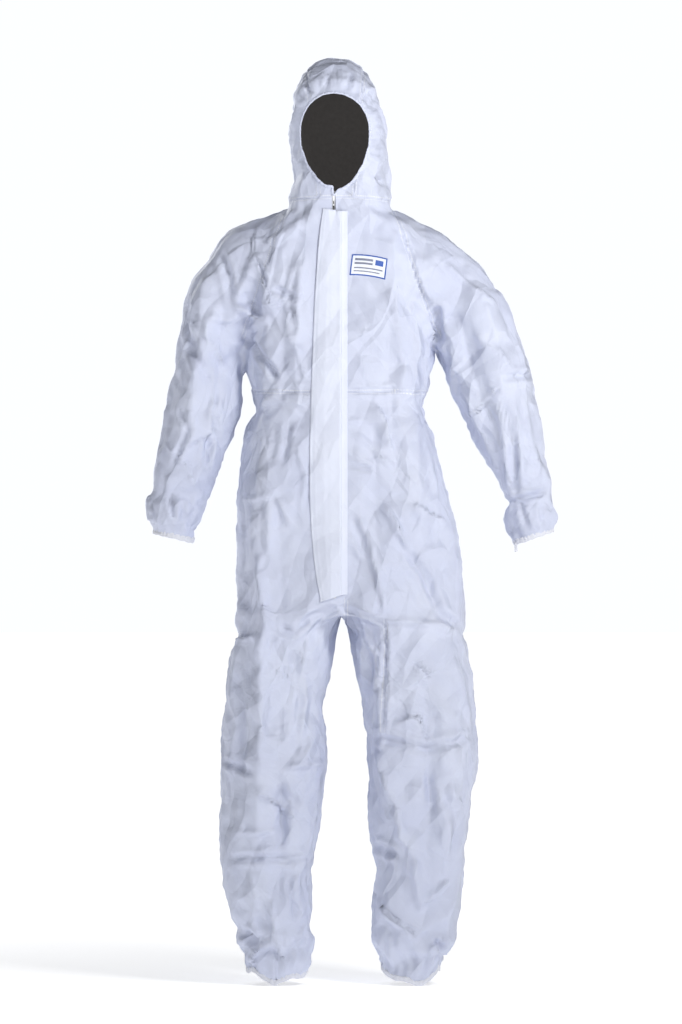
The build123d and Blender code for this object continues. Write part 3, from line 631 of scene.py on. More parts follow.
add_seam(ex + 49 + 0.1 * (ez - 100), ey + ez, (ez > 6) & (egg > 1.04))
add_seam(ex - 33 - 0.08 * (ez - 100), ey + ez, (ez > 6) & (egg > 1.04))
add_seam(ez - 6 - 4 * np.cos((ex) / 60), ex, (ez < 30) & (ez > -20))
add_seam(ex - 12, ez, (ez < -748) & (ez > -840) & (np.abs(N[:, 0]) < 0.9))
add_seam(ex - 12, ez, (ez < -395) & (ez > -840) & (ey > 30))
sp, ss = polyline(REST[:, [0, 2]], [P(385, 618), P(386, 672), P(386, 731)])
add_seam(sp, ez, (ey < -20) & (ss > 0.001) & (ss < 0.999))
sp, ss = polyline(REST[:, [0, 2]], [P(252, 392), P(312, 393)])
add_seam(sp, ex, (ey < -20) & (ss > 0.001) & (ss < 0.999))
sp, ss = polyline(REST[:, [0, 2]], [P(344, 393), P(425, 392)])
add_seam(sp, ex, (ey < -20) & (ss > 0.001) & (ss < 0.999))
pucker = np.sin(seam_s / 3.4 + 2.2 * soft_noise(REST, 24, 51)) * np.exp(-(seam / 9.0)) * np.clip(seam / 3.0, 0, 1)
C2 = C2 + N2 * ((-1.5 * np.exp(-(seam / 3.6) ** 2) + 0.9 * np.exp(-((seam - 6) / 3.5) ** 2) + 1.1 * pucker) * np.clip(calm * 1.4, 0, 1))[:, None]
set_coords(fine, C2 / 1000)
N3 = normals(fine)
for name, data in (("seam", seam), ("seam_s", seam_s)):
    fine.attributes.new(name, "FLOAT", "POINT").data.foreach_set("value", data.astype(np.float32))
fine.attributes.new("rest", "FLOAT_VECTOR", "POINT").data.foreach_set("vector", (C2 / 1000).astype(np.float32).ravel())

# ------------------------------------------------------------------ pieces
polys = len(fine.polygons)
ls = np.zeros(polys, int); lt = np.zeros(polys, int)
fine.polygons.foreach_get("loop_start", ls); fine.polygons.foreach_get("loop_total", lt)
lv = np.zeros(len(fine.loops), int); fine.loops.foreach_get("vertex_index", lv)
fc = np.add.reduceat(REST[lv], ls) / lt[:, None]
fcd = arm_t(fc)
fx, fy, fz = fc.T
farm = field(fc, "arms")
rag_r = ((fx + 141) * -0.9456 + (fz + 128) * 0.325 > 0) & (fx < 0)
rag_l = ((fx - 141) * 0.9456 + (fz + 128) * 0.325 > 0) & (fx > 0)
in_arm = ((rag_r | rag_l) & (fz > -225) & (fz < 2)) | ((farm < 0) & (fz <= -225) & (fz > -700))
S_R = (fx + 276) * ARM_R["D"][0] + (fz + 395) * ARM_R["D"][1]
S_L = (fx - 306) * ARM_L["D"][0] + (fz + 392) * ARM_L["D"][1]
label = np.full(polys, 0)
label[(fz > 3) & ~in_arm] = 1
label[in_arm & (fx < 0) & (S_R <= 0)] = 2
label[in_arm & (fx < 0) & (S_R > 0)] = 3
label[in_arm & (fx > 0) & (S_L <= 0)] = 4
label[in_arm & (fx > 0) & (S_L > 0)] = 5
label[(fz < -840) & (fx < 12)] = 6
label[(fz < -840) & (fx >= 12)] = 7
label[(fz < -985) & (fx < 12)] = 8
label[(fz < -985) & (fx >= 12)] = 9
NAMES = ["suit_trunk", "suit_hood", "suit_right_sleeve_upper", "suit_right_sleeve_lower", "suit_left_sleeve_upper", "suit_left_sleeve_lower",
         "suit_right_thigh", "suit_left_thigh", "suit_right_lower_leg", "suit_left_lower_leg"]
seam_a = seam.astype(np.float32); seams_a = seam_s.astype(np.float32)
PIECES = {}
for k, nm in enumerate(NAMES):
    sel = np.flatnonzero(label == k)
    faces = [lv[ls[i]:ls[i] + lt[i]] for i in sel]
    used = np.unique(np.concatenate(faces))
    remap = -np.ones(len(REST), int); remap[used] = np.arange(len(used))
    o = mesh_object(nm, C2[used], [remap[f] for f in faces])
    me = o.data
    me.attributes.new("seam", "FLOAT", "POINT").data.foreach_set("value", seam_a[used])
    me.attributes.new("seam_s", "FLOAT", "POINT").data.foreach_set("value", seams_a[used])
    me.attributes.new("rest", "FLOAT_VECTOR", "POINT").data.foreach_set("vector", (C2[used] / 1000).astype(np.float32).ravel())
    me.polygons.foreach_set("use_smooth", np.ones(len(me.polygons), bool))
    me.normals_split_custom_set_from_vertices(N3[used].tolist())
    PIECES[nm] = o
bpy.data.objects.remove(suit)


# ------------------------------------------------------------------ materials
def nodes_of(name):
    mt = bpy.data.materials.new(name); mt.use_nodes = True
    nt = mt.node_tree; nt.nodes.clear()
    out = nt.nodes.new("ShaderNodeOutputMaterial"); b = nt.nodes.new("ShaderNodeBsdfPrincipled")
    nt.links.new(b.outputs[0], out.inputs[0])
    return mt, nt, b


class G:
    def __init__(self, nt): self.nt = nt
    def n(self, kind, **kw):
        x = self.nt.nodes.new(kind)
        for k, v in kw.items(): setattr(x, k, v)
        return x
    def link(self, a, b): self.nt.links.new(a, b)
    def val(self, x, k, v):
        if hasattr(v, "links") or isinstance(v, bpy.types.NodeSocket): self.link(v, x.inputs[k])
        else: x.inputs[k].default_value = v
    def math(self, op, a, b=0.0, c=None, clamp=False):
        x = self.n("ShaderNodeMath", operation=op, use_clamp=clamp); self.val(x, 0, a); self.val(x, 1, b)
        if c is not None: self.val(x, 2, c)
        return x.outputs[0]
    def mix(self, f, a, b):
        x = self.n("ShaderNodeMix", data_type="RGBA"); self.val(x, 0, f); self.val(x, 6, a); self.val(x, 7, b)
        return x.outputs[2]
    def attr(self, name, what="Fac"):
        return self.n("ShaderNodeAttribute", attribute_name=name).outputs[what]
    def noise(self, vec, scale, detail=3.0, rough=0.5, dist=0.0):
        x = self.n("ShaderNodeTexNoise"); self.val(x, "Vector", vec); x.inputs["Scale"].default_value = scale
        x.inputs["Detail"].default_value = detail; x.inputs["Roughness"].default_value = rough; x.inputs["Distortion"].default_value = dist
        return x.outputs["Fac"]
    def ramp(self, v, lo, hi, a=0.0, b=1.0):
        x = self.n("ShaderNodeMapRange"); x.clamp = True; self.val(x, 0, v); x.inputs[1].default_value = lo; x.inputs[2].default_value = hi
        x.inputs[3].default_value = a; x.inputs[4].default_value = b
        return x.outputs[0]
    def bump(self, h, strength, distance, normal=None):
        x = self.n("ShaderNodeBump"); x.inputs["Strength"].default_value = strength; x.inputs["Distance"].default_value = distance
        self.val(x, "Height", h)
        if normal is not None: self.link(normal, x.inputs["Normal"])
        return x.outputs[0]


def coordinate(g, rest=True):
    return g.attr("rest", "Vector") if rest else g.n("ShaderNodeTexCoord").outputs["Object"]


def turned(g, vec, angles, stretch):
    m = g.n("ShaderNodeMapping"); m.vector_type = "TEXTURE"; g.val(m, "Vector", vec)
    m.inputs["Rotation"].default_value = angles; m.inputs["Scale"].default_value = stretch
    return m.outputs[0]


def voronoi(g, vec, scale, feature="F1", rnd=1.0, metric=None):
    v = g.n("ShaderNodeTexVoronoi"); v.feature = feature; g.val(v, "Vector", vec)
    if metric: v.distance = metric
    v.inputs["Scale"].default_value = scale; v.inputs["Randomness"].default_value = rnd
    return v.outputs["Distance"]


def laminate(name, light, dark, rough=0.55, rest=True, seams=True, sheen=0.0, crisp=1.0):
    """A white nonwoven laminate: bonded points, fine crumple lines, cloudy fibre, stitched seams."""
    mt, nt, b = nodes_of(name); g = G(nt); v = coordinate(g, rest)
    cloud = g.noise(v, 9.0, 3, 0.55)
    fibre = g.noise(v, 260.0, 4, 0.6, 0.4)
    blot = g.noise(v, 38.0, 3, 0.5)
    base = g.mix(g.ramp(cloud, 0.35, 0.68), (*dark, 1), (*light, 1))
    base = g.mix(g.math("MULTIPLY", g.ramp(fibre, 0.45, 0.75), 0.16), base, (light[0] * 1.0, light[1] * 1.0, min(1, light[2] * 1.04), 1))
    base = g.mix(g.math("MULTIPLY", g.ramp(blot, 0.52, 0.75), 0.10), base, (dark[0] * 0.94, dark[1] * 0.95, dark[2] * 0.98, 1))
    # crumple lines: short straight creases, at two sizes
    warp = g.n("ShaderNodeTexNoise"); g.val(warp, "Vector", v); warp.inputs["Scale"].default_value = 14.0; warp.inputs["Detail"].default_value = 2.0
    add = g.n("ShaderNodeVectorMath", operation="MULTIPLY_ADD"); g.link(warp.outputs["Color"], add.inputs[0]); add.inputs[1].default_value = (0.012, 0.012, 0.012); g.link(v, add.inputs[2])
    wv = add.outputs[0]
    e1 = voronoi(g, wv, 17.0, "DISTANCE_TO_EDGE"); e2 = voronoi(g, wv, 46.0, "DISTANCE_TO_EDGE")
    some = g.ramp(g.noise(v, 6.0, 2, 0.5), 0.42, 0.62)
    h = g.math("MULTIPLY", g.math("SUBTRACT", 1.0, g.ramp(e1, 0.0, 0.07)), some)
    fine_ = g.ramp(g.noise(v, 11.0, 2, 0.5), 0.48, 0.62)
    h2 = g.math("MULTIPLY", g.math("SUBTRACT", 1.0, g.ramp(e2, 0.0, 0.10)), fine_)
    # flat facets with sharp ridges, the way a stiff film crumples, at three sizes
    loose = g.n("ShaderNodeTexNoise"); g.val(loose, "Vector", v); loose.inputs["Scale"].default_value = 5.0; loose.inputs["Detail"].default_value = 1.0
    ad2 = g.n("ShaderNodeVectorMath", operation="MULTIPLY_ADD"); g.link(loose.outputs["Color"], ad2.inputs[0]); ad2.inputs[1].default_value = (0.11, 0.11, 0.11); g.link(v, ad2.inputs[2])
    fv = ad2.outputs[0]
    p1 = voronoi(g, turned(g, fv, (0.25, 0.45, 0.3), (0.7, 0.7, 2.3)), 8.0, "F1", 1.0, "MANHATTAN")
    p2 = voronoi(g, turned(g, fv, (-0.3, -0.6, 0.7), (0.8, 0.8, 1.8)), 18.0, "F1", 1.0, "MANHATTAN")
    p3 = voronoi(g, turned(g, fv, (0.7, 0.2, -0.5), (1.0, 1.0, 1.2)), 50.0, "F1", 1.0, "CHEBYCHEV")
    busy = g.ramp(g.noise(v, 7.0, 2, 0.5), 0.38, 0.62, 0.25, 1.0)
    n1 = g.bump(p1, crisp, 0.0165)
    n1 = g.bump(g.math("MULTIPLY", p2, busy), crisp, 0.0062, n1)
    n1 = g.bump(g.math("MULTIPLY", p3, g.ramp(busy, 0.5, 1.0)), crisp * 0.8, 0.0016, n1)
    n1 = g.bump(h, 0.40, 0.0012, n1)
    n1 = g.bump(h2, 0.30, 0.0005, n1)
    # bonded points of the nonwoven and its fibres
    pts = voronoi(g, v, 520.0, "F1", 0.25)
    n1 = g.bump(g.math("SUBTRACT", 1.0, g.ramp(pts, 0.12, 0.42)), 0.25, 0.00022, n1)
    n1 = g.bump(fibre, 0.18, 0.0003, n1)
    if seams:
        d = g.attr("seam"); sq = g.attr("seam_s")
        core = g.math("SUBTRACT", 1.0, g.ramp(d, 0.6, 1.6))
        period = g.math("FRACT", g.math("MULTIPLY", sq, 1 / 4.2))
        dash = g.math("MULTIPLY", g.ramp(period, 0.05, 0.2), g.math("SUBTRACT", 1.0, g.ramp(period, 0.62, 0.78)))
        line = g.math("SUBTRACT", 1.0, g.ramp(g.math("ABSOLUTE", g.math("SUBTRACT", d, 3.4)), 0.25, 0.75))
        thread = g.math("MULTIPLY", line, dash)
        lap = g.ramp(d, 1.2, 4.6, 1.0, 0.0)
        base = g.mix(g.math("MULTIPLY", core, 0.32), base, (dark[0] * 0.62, dark[1] * 0.64, dark[2] * 0.72, 1))
        base = g.mix(g.math("MULTIPLY", thread, 0.7), base, (0.93, 0.94, 0.97, 1))
        base = g.mix(g.math("MULTIPLY", lap, 0.15), base, (light[0], light[1], light[2], 1))
        n1 = g.bump(g.math("ADD", g.math("MULTIPLY", thread, 0.7), g.math("SUBTRACT", g.math("MULTIPLY", lap, 0.8), g.math("MULTIPLY", core, 1.2))), 0.6, 0.0008, n1)
    g.link(base, b.inputs["Base Color"]); g.link(n1, b.inputs["Normal"])
    r = g.math("ADD", g.math("MULTIPLY", g.math("SUBTRACT", fibre, 0.5), 0.18), g.math("ADD", g.math("MULTIPLY", blot, 0.10), rough - 0.05))
    g.link(r, b.inputs["Roughness"])
    b.inputs["Sheen Weight"].default_value = sheen; b.inputs["Sheen Roughness"].default_value = 0.45
    b.inputs["Specular IOR Level"].default_value = 0.32
    b.inputs["Subsurface Weight"].default_value = 0.0
    return mt


def woven(name, colour, rough=0.75, scale=900.0, rest=False):
    mt, nt, b = nodes_of(name); g = G(nt); v = coordinate(g, rest)
    sep = g.n("ShaderNodeSeparateXYZ"); g.link(v, sep.inputs[0])
    a = g.math("SINE", g.math("MULTIPLY", sep.outputs[2], scale * 3.0)); c = g.math("SINE", g.math("MULTIPLY", g.math("ADD", sep.outputs[0], sep.outputs[1]), scale * 3.0))
    w = g.math("MULTIPLY", a, c)
    n = g.noise(v, 180.0, 3)
    base = g.mix(g.ramp(w, -0.6, 0.6), (colour[0] * 0.84, colour[1] * 0.85, colour[2] * 0.88, 1), (*colour, 1))
    base = g.mix(g.math("MULTIPLY", g.ramp(n, 0.5, 0.8), 0.2), base, (colour[0] * 0.8, colour[1] * 0.8, colour[2] * 0.84, 1))
    g.link(base, b.inputs["Base Color"]); g.link(g.bump(n, 0.2, 0.0004, g.bump(w, 0.5, 0.0003)), b.inputs["Normal"])
    g.link(g.ramp(n, 0.2, 0.8, rough - 0.08, rough + 0.1), b.inputs["Roughness"]); b.inputs["Sheen Weight"].default_value = 0.2
    return mt


def enamel(name, colour, rough=0.35, metallic=0.0, wear=(0.62, 0.62, 0.66)):
    mt, nt, b = nodes_of(name); g = G(nt); v = coordinate(g, False)
    n = g.noise(v, 420.0, 4, 0.6); s = g.noise(v, 1400.0, 2)
    base = g.mix(g.math("MULTIPLY", g.ramp(n, 0.6, 0.72), 0.5), (*colour, 1), (*wear, 1))
    g.link(base, b.inputs["Base Color"]); g.link(g.bump(s, 0.15, 0.0001), b.inputs["Normal"])
    g.link(g.ramp(n, 0.3, 0.8, rough - 0.08, rough + 0.2), b.inputs["Roughness"]); b.inputs["Metallic"].default_value = metallic
    return mt


def painted_shade_cloth(name):
    # painted shade: a near-black cloth with a faint even glow, standing in for the shadow inside the hood
    mt, nt, b = nodes_of(name); g = G(nt); v = coordinate(g, False)
    n = g.noise(v, 120.0, 4, 0.6); w = voronoi(g, v, 600.0, "F1", 0.3)
    g.link(g.mix(n, (0.018, 0.017, 0.0165, 1), (0.040, 0.038, 0.036, 1)), b.inputs["Base Color"])
    g.link(g.bump(w, 0.3, 0.0003), b.inputs["Normal"]); g.link(g.ramp(n, 0.2, 0.8, 0.85, 1.0), b.inputs["Roughness"]); b.inputs["Specular IOR Level"].default_value = 0.1
    g.link(g.mix(n, (0.034, 0.032, 0.031, 1), (0.046, 0.043, 0.042, 1)), b.inputs["Emission Color"]); b.inputs["Emission Strength"].default_value = 0.9
    return mt


M_SUIT = laminate("suit_laminate", (0.625, 0.66, 0.79), (0.575, 0.61, 0.755))
# painted light: a lighter copy of the suit laminate for the storm flap and its seam strip, as if the raised flap caught
# more light
M_FLAP_PAINTED_LIGHT = laminate("flap_laminate_painted_lighter", (0.735, 0.77, 0.885), (0.70, 0.735, 0.86), rest=False, seams=False, crisp=0.45)
# painted shade for the hood interior, which is shadow rather than dark cloth
M_HOOD_PAINTED_SHADE = painted_shade_cloth("hood_inside_painted_shade")
M_SUIT_EDGE = laminate("face_edge_laminate", (0.66, 0.695, 0.83), (0.60, 0.635, 0.79), rest=False, seams=False, crisp=0.2)
M_EL = woven("narrow_elastic", (0.78, 0.79, 0.85), scale=700.0)
M_TAPE = woven("zip_tape_weave", (0.80, 0.81, 0.85), scale=1100.0)
M_TEETH = enamel("zip_coil", (0.82, 0.83, 0.86), 0.4)
M_SLIDER = enamel("slider_enamel", (0.84, 0.85, 0.88), 0.3)
M_STRIP = enamel("release_strip", (0.66, 0.72, 0.80), 0.28)
for nm, o in PIECES.items():
    o.data.materials.append(M_SUIT)

# the teeth show as a coil: rows across, from a wave along the chain; its dark troughs are painted shade between the
# coil turns
g = G(M_TEETH.node_tree); tb = M_TEETH.node_tree.nodes
bs = [x for x in tb if x.type == "BSDF_PRINCIPLED"][0]
sep = g.n("ShaderNodeSeparateXYZ"); g.link(g.n("ShaderNodeTexCoord").outputs["Object"], sep.inputs[0])
coil_relief_and_shade = g.math("SINE", g.math("MULTIPLY", sep.outputs[2], 2 * math.pi / 0.0019))
g.link(g.bump(coil_relief_and_shade, 0.9, 0.0006), bs.inputs["Normal"])
# painted shade: dark grey in the troughs between the coil turns, light grey on the turns
g.link(g.mix(g.ramp(coil_relief_and_shade, -0.5, 0.6), (0.42, 0.43, 0.47, 1), (0.86, 0.87, 0.90, 1)), bs.inputs["Base Color"])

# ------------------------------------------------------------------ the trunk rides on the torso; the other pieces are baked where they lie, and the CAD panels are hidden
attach(PIECES["suit_trunk"], "torso")
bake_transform(PIECES["suit_hood"])
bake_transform(PIECES["suit_right_sleeve_upper"])
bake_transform(PIECES["suit_left_sleeve_upper"])
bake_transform(PIECES["suit_right_sleeve_lower"])
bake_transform(PIECES["suit_left_sleeve_lower"])
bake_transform(PIECES["suit_right_thigh"])
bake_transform(PIECES["suit_left_thigh"])
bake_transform(PIECES["suit_right_lower_leg"])
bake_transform(PIECES["suit_left_lower_leg"])
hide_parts("front_panel_right", "front_panel_left", "back_panel", "seat_and_rise", "crotch_gusset")
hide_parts("hood_neck", "hood_crown_panel", "hood_right_panel", "hood_left_panel")
for s_ in ("right", "left"):
    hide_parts(f"{s_}_sleeve_cap", f"{s_}_shoulder_fold", f"{s_}_upper_sleeve")
    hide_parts(f"{s_}_elbow_fold", f"{s_}_forearm")
    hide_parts(f"{s_}_leg_top", f"{s_}_thigh")
    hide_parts(f"{s_}_knee_fold", f"{s_}_lower_leg")

# ------------------------------------------------------------------ elastic edges
tree_v = [Vector(v) for v in C2 / 1000]
tree_f = [lv[ls[i]:ls[i] + lt[i]].tolist() for i in range(polys)]
TREE = BVHTree.FromPolygons(tree_v, tree_f)


def boundary_loop(test):
    """The open edges of the suit among the faces that pass the test, as pairs of vertex indices."""
    cnt = {}
    for i in range(polys):
        f = tree_f[i]
        if not test(fc[i]): continue
        for a, b in zip(f, f[1:] + f[:1]):
            k = (min(a, b), max(a, b)); cnt[k] = cnt.get(k, 0) + 1
    return [k for k, c_ in cnt.items() if c_ == 1]


ALL_EDGES = {}
for i in range(polys):
    f = tree_f[i]
    for a, b in zip(f, f[1:] + f[:1]):
        k = (a, b) if a < b else (b, a); ALL_EDGES[k] = ALL_EDGES.get(k, 0) + 1
OPEN = np.array([k for k, c_ in ALL_EDGES.items() if c_ == 1])
del ALL_EDGES


def open_points(test):
    ids = np.unique(OPEN); p = C2[ids]
    return p[test(p, REST[ids])], ids[test(p, REST[ids])]


def resample(p, n):
    d = np.linalg.norm(np.diff(np.vstack([p, p[:1]]), axis=0), axis=1); c_ = np.concatenate([[0], np.cumsum(d)])
    t = np.linspace(0, c_[-1], n, endpoint=False)
    q = np.vstack([p, p[:1]])
    return np.stack([np.interp(t, c_, q[:, k]) for k in range(3)], 1)


def hem(name, loop, inward, out_n, width, thick, ruffle, waves, seed, mat, closed=True, subtract=0.0):
    """A gathered band sewn along an open edge. inward: direction into the cloth along the surface, out_n: outward normal, per point."""
    n = len(loop); prof = []
    m_ = 12
    for k in range(m_):
        a = 2 * math.pi * k / m_; cs, sn = math.cos(a), math.sin(a)
        prof.append((math.copysign(abs(cs) ** 0.55, cs) * width / 2, math.copysign(abs(sn) ** 0.8, sn) * thick / 2))
    th = np.linspace(0, 2 * math.pi, n, endpoint=False)
    r_ = np.random.default_rng(seed)
    wav = np.sin(th * waves + 1.7 * np.sin(th * 5 + seed)) * 0.6 + np.sin(th * waves * 1.63 + seed) * 0.4
    wid = 1 + 0.10 * np.sin(th * waves * 0.5 + 1 + seed)
    rows = []
    for a, b_ in prof:
        rows.append(loop + inward * (a * wid + width / 2 - 3.0)[:, None] + out_n * ((b_ + wav * ruffle * (0.6 + 0.4 * a / (width / 2))) + subtract)[:, None])
    v = np.stack(rows, 1).reshape(-1, 3)
    f = []
    for i in range(n if closed else n - 1):
        for k in range(m_):
            a0, a1 = i * m_ + k, i * m_ + (k + 1) % m_
            b0, b1 = ((i + 1) % n) * m_ + k, ((i + 1) % n) * m_ + (k + 1) % m_
            f.append((a0, b0, b1, a1))
    if not closed:
        f.append(tuple(range(m_))); f.append(tuple((n - 1) * m_ + k for k in reversed(range(m_))))
    o = mesh_object(name, v, f)
    bm_ = bmesh.new(); bm_.from_mesh(o.data); bmesh.ops.recalc_face_normals(bm_, faces=bm_.faces); bm_.to_mesh(o.data); bm_.free()
    o.data.polygons.foreach_set("use_smooth", np.ones(len(o.data.polygons), bool))
    o.data.materials.append(mat)
    return o


def unit(a):
    return a / np.maximum(np.linalg.norm(a, axis=-1, keepdims=True), 1e-9)


ELASTIC = {}
# face
c_face = np.array([ce[0], ce[1]])
pts, _ = open_points(lambda p, r: (r[:, 2] > 12) & (np.abs(in_egg(r[:, 0], r[:, 2]) - 1) < 0.2) & (np.hypot(r[:, 0] - X_ZIP, r[:, 2] - 20) > 7))
an = np.arctan2(pts[:, 2] - ce[1], pts[:, 0] - ce[0]); pts = pts[np.argsort(an)]
loop = resample(pts, 420)
for _ in range(3): loop = 0.25 * np.roll(loop, 1, 0) + 0.5 * loop + 0.25 * np.roll(loop, -1, 0)
g_, _n = grad(loop)
tan = unit(np.roll(loop, -1, 0) - np.roll(loop, 1, 0))
inw = unit(np.cross(g_, tan)); cen = loop.mean(0)
inw *= np.sign(((loop - cen) * inw).sum(1, keepdims=True))
o = hem("face_elastic_band", loop, inw, g_, 4.6, 2.3, 1.1, 54, 1, M_SUIT_EDGE, subtract=0.6)
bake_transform(o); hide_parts("face_elastic"); ELASTIC["face"] = o
# ankles
for s_, cx_ in (("right", -120), ("left", 135)):
    pts, _ = open_points(lambda p, r: (r[:, 2] < -1450) & (np.abs(r[:, 0] - cx_) < 90))
    an = np.arctan2(pts[:, 1] - 9, pts[:, 0] - cx_); pts = pts[np.argsort(an)]
    loop = resample(pts, 260); g_, _n = grad(loop)
    o = hem(f"{s_}_ankle_elastic_band", loop, np.tile([0, 0, 1.0], (len(loop), 1)), g_, 11, 3.0, 1.3, 31, 4, M_EL)
    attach(o, f"{s_}_shin"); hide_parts(f"{s_}_ankle_elastic")
# wrists
for s_, arm, end, sx in (("right", ARM_R, END_R, -1), ("left", ARM_L, END_L, 1)):
    D3 = np.array([arm["D"][0], 0, arm["D"][1]])
    pts, _ = open_points(lambda p, r: (arm_t(r) < 8) & (r[:, 0] * sx > 200))
    lat_dir = np.array([-arm["D"][1], 0, arm["D"][0]])
    an = np.arctan2(pts[:, 1] + 6, (pts - np.array([end[0], 0, end[1]])) @ lat_dir); pts = pts[np.argsort(an)]
    loop = resample(pts, 220); g_, _n = grad(loop)
    o = hem(f"{s_}_wrist_elastic_band", loop, np.tile(-D3, (len(loop), 1)), g_, 11, 2.8, 1.2, 27, 7, M_EL)
    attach(o, f"{s_}_forearm"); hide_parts(f"{s_}_wrist_elastic")
# waist, inside the back
xs = np.linspace(-150, 142, 200); loop = []
for xx in xs:
    hit = TREE.ray_cast(Vector((xx / 1000, 0.4, -0.388)), Vector((0, -1, 0)))
    if hit[0] is not None and hit[0].y > 0.0: loop.append([xx, hit[0].y * 1000, -388])
loop = np.array(loop); loop[:, 1] = np.convolve(np.pad(loop[:, 1], 4, mode="edge"), np.ones(9) / 9, "valid")
g_, _n = grad(loop)
o = hem("waist_elastic_band", loop, np.tile([0, 0, 1.0], (len(loop), 1)), -g_, 12, 1.8, 0.6, 60, 9, M_EL, closed=False, subtract=5.5)
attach(o, "torso"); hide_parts("waist_elastic")


# ------------------------------------------------------------------ sheets laid over the front
def front_hit(xx, zz):
    hit = TREE.ray_cast(Vector((xx / 1000, -0.4, zz / 1000)), Vector((0, 1, 0)))
    return hit[0].y * 1000 if hit[0] is not None and hit[0].y < 0 else None


def grid_piece(name, X, Z, Y, thick, mat, body):
    """A closed thin sheet from a grid; Y is the outer face, the inner face lies thick behind it."""
    r_, c_ = X.shape
    outer = np.stack([X, Y, Z], -1).reshape(-1, 3); inner = outer + np.array([0, thick, 0])
    v = np.vstack([outer, inner]); n = r_ * c_; f = []
    for i in range(r_ - 1):
        for j in range(c_ - 1):
            a, b_, d, e = i * c_ + j, i * c_ + j + 1, (i + 1) * c_ + j + 1, (i + 1) * c_ + j
            f.append((a, b_, d, e)); f.append((a + n, e + n, d + n, b_ + n))
    for j in range(c_ - 1):
        f.append((j, j + n, j + 1 + n, j + 1)); a = (r_ - 1) * c_ + j; f.append((a, a + 1, a + 1 + n, a + n))
    for i in range(r_ - 1):
        a = i * c_; f.append((a, a + c_, a + c_ + n, a + n)); a = i * c_ + c_ - 1; f.append((a, a + n, a + c_ + n, a + c_))
    o = mesh_object(name, v, f)
    bm_ = bmesh.new(); bm_.from_mesh(o.data); bmesh.ops.recalc_face_normals(bm_, faces=bm_.faces); bm_.to_mesh(o.data); bm_.free()
    o.data.polygons.foreach_set("use_smooth", np.ones(len(o.data.polygons), bool))
    o.data.materials.append(mat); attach(o, body)
    return o


def px_z(py): return (205 - py) * PX
FLAP_PY = np.array([213, 230, 250, 300, 350, 407, 450, 494, 530, 558, 580, 597], float)
FLAP_XL = (np.array([323, 320.5, 318.5, 315, 313, 311, 310, 310, 311.5, 314, 317, 320.5]) - 340) * PX
rows_, cols_ = 260, 21
u = np.linspace(0, 1, cols_)
zl = np.linspace(-11, px_z(601), rows_); zr = np.linspace(-17, px_z(594), rows_)
X = np.zeros((rows_, cols_)); Z = np.zeros((rows_, cols_)); Y = np.zeros((rows_, cols_))
order_ = np.argsort(-FLAP_PY)
for i in range(rows_):
    xl = np.interp(zl[i], px_z(FLAP_PY)[order_], FLAP_XL[order_]); xr = 2.2
    X[i] = xl + (xr - xl) * u; Z[i] = zl[i] + (zr[i] - zl[i]) * u
flat = np.stack([X, np.zeros_like(X), Z], -1).reshape(-1, 3)
wr = (facets(flat * [1, 1, 0.6], 46, 61) * 1.1 + facets(flat, 22, 62) * 0.45 + soft_noise(flat * [0.3, 1, 1], 60, 63) * 0.8).reshape(rows_, cols_)
side_wave = soft_noise(np.stack([np.zeros(rows_), np.zeros(rows_), zl], 1), 75, 64)
for i in range(rows_):
    for j in range(cols_):
        h_ = front_hit(X[i, j], Z[i, j]); base_y = front_y(Z[i, j])
        surf = h_ if h_ is not None and abs(X[i, j] - X_ZIP) > 7 else base_y
        edge_fall = np.clip((1 - u[j] - 0.55) / 0.45, 0, 1)
        lift = 5.4 - 3.7 * edge_fall + 1.1 * side_wave[i] * edge_fall
        want = min(surf, base_y + 6) - lift - 0.55 * max(0, wr[i, j]) - 0.25 * wr[i, j]
        Y[i, j] = min(want, surf - 1.6)
for _ in range(2):
    Y[1:-1] = 0.25 * Y[:-2] + 0.5 * Y[1:-1] + 0.25 * Y[2:]
ridge = 0.7 * np.exp(-((u - 0.13) / 0.035) ** 2) - 0.9 * np.exp(-((u - 0.10) / 0.02) ** 2) + 0.6 * np.exp(-((u - 0.93) / 0.03) ** 2)
Y = Y - ridge[None, :]
# the flap wears the painted lighter laminate
flap = grid_piece("storm_flap_cloth", X, Z, Y, 1.1, M_FLAP_PAINTED_LIGHT, "storm_flap"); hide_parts("storm_flap")
# the tape that closes it, on its inner face near the free edge
sc_ = slice(2, 8)
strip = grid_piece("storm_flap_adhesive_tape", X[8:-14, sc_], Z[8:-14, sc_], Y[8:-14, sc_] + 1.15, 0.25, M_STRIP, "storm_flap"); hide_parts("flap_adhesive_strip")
# its sewn root
cols2 = 9; u2 = np.linspace(0, 1, cols2)
X2 = np.zeros((rows_, cols2)); Z2 = np.zeros((rows_, cols2)); Y2 = np.zeros((rows_, cols2))
for i in range(rows_):
    X2[i] = 0.8 + 13.5 * u2; Z2[i] = zr[i] + 0.5 * u2 + 0.4
    for j in range(cols2):
        h_ = front_hit(X2[i, j], Z2[i, j]); surf = h_ if h_ is not None else front_y(Z2[i, j])
        Y2[i, j] = surf - 0.7 + (Y[i, -1] + 0.25 - surf + 0.7) * (1 - np.clip((u2[j] - 0.12) / 0.8, 0, 1)) ** 1.5
Y2[:, 0] += 1.3
Y2 -= 0.3 * np.exp(-((u2 - 0.75) / 0.12) ** 2)[None, :]
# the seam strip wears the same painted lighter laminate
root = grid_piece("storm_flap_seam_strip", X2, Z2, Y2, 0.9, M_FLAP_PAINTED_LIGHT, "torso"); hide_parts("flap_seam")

# ------------------------------------------------------------------ the chest label: a frame and a few bars, no lettering
M_LABEL = laminate("label_ground", (0.83, 0.86, 0.93), (0.79, 0.82, 0.91), rest=False, seams=False, crisp=0.2)


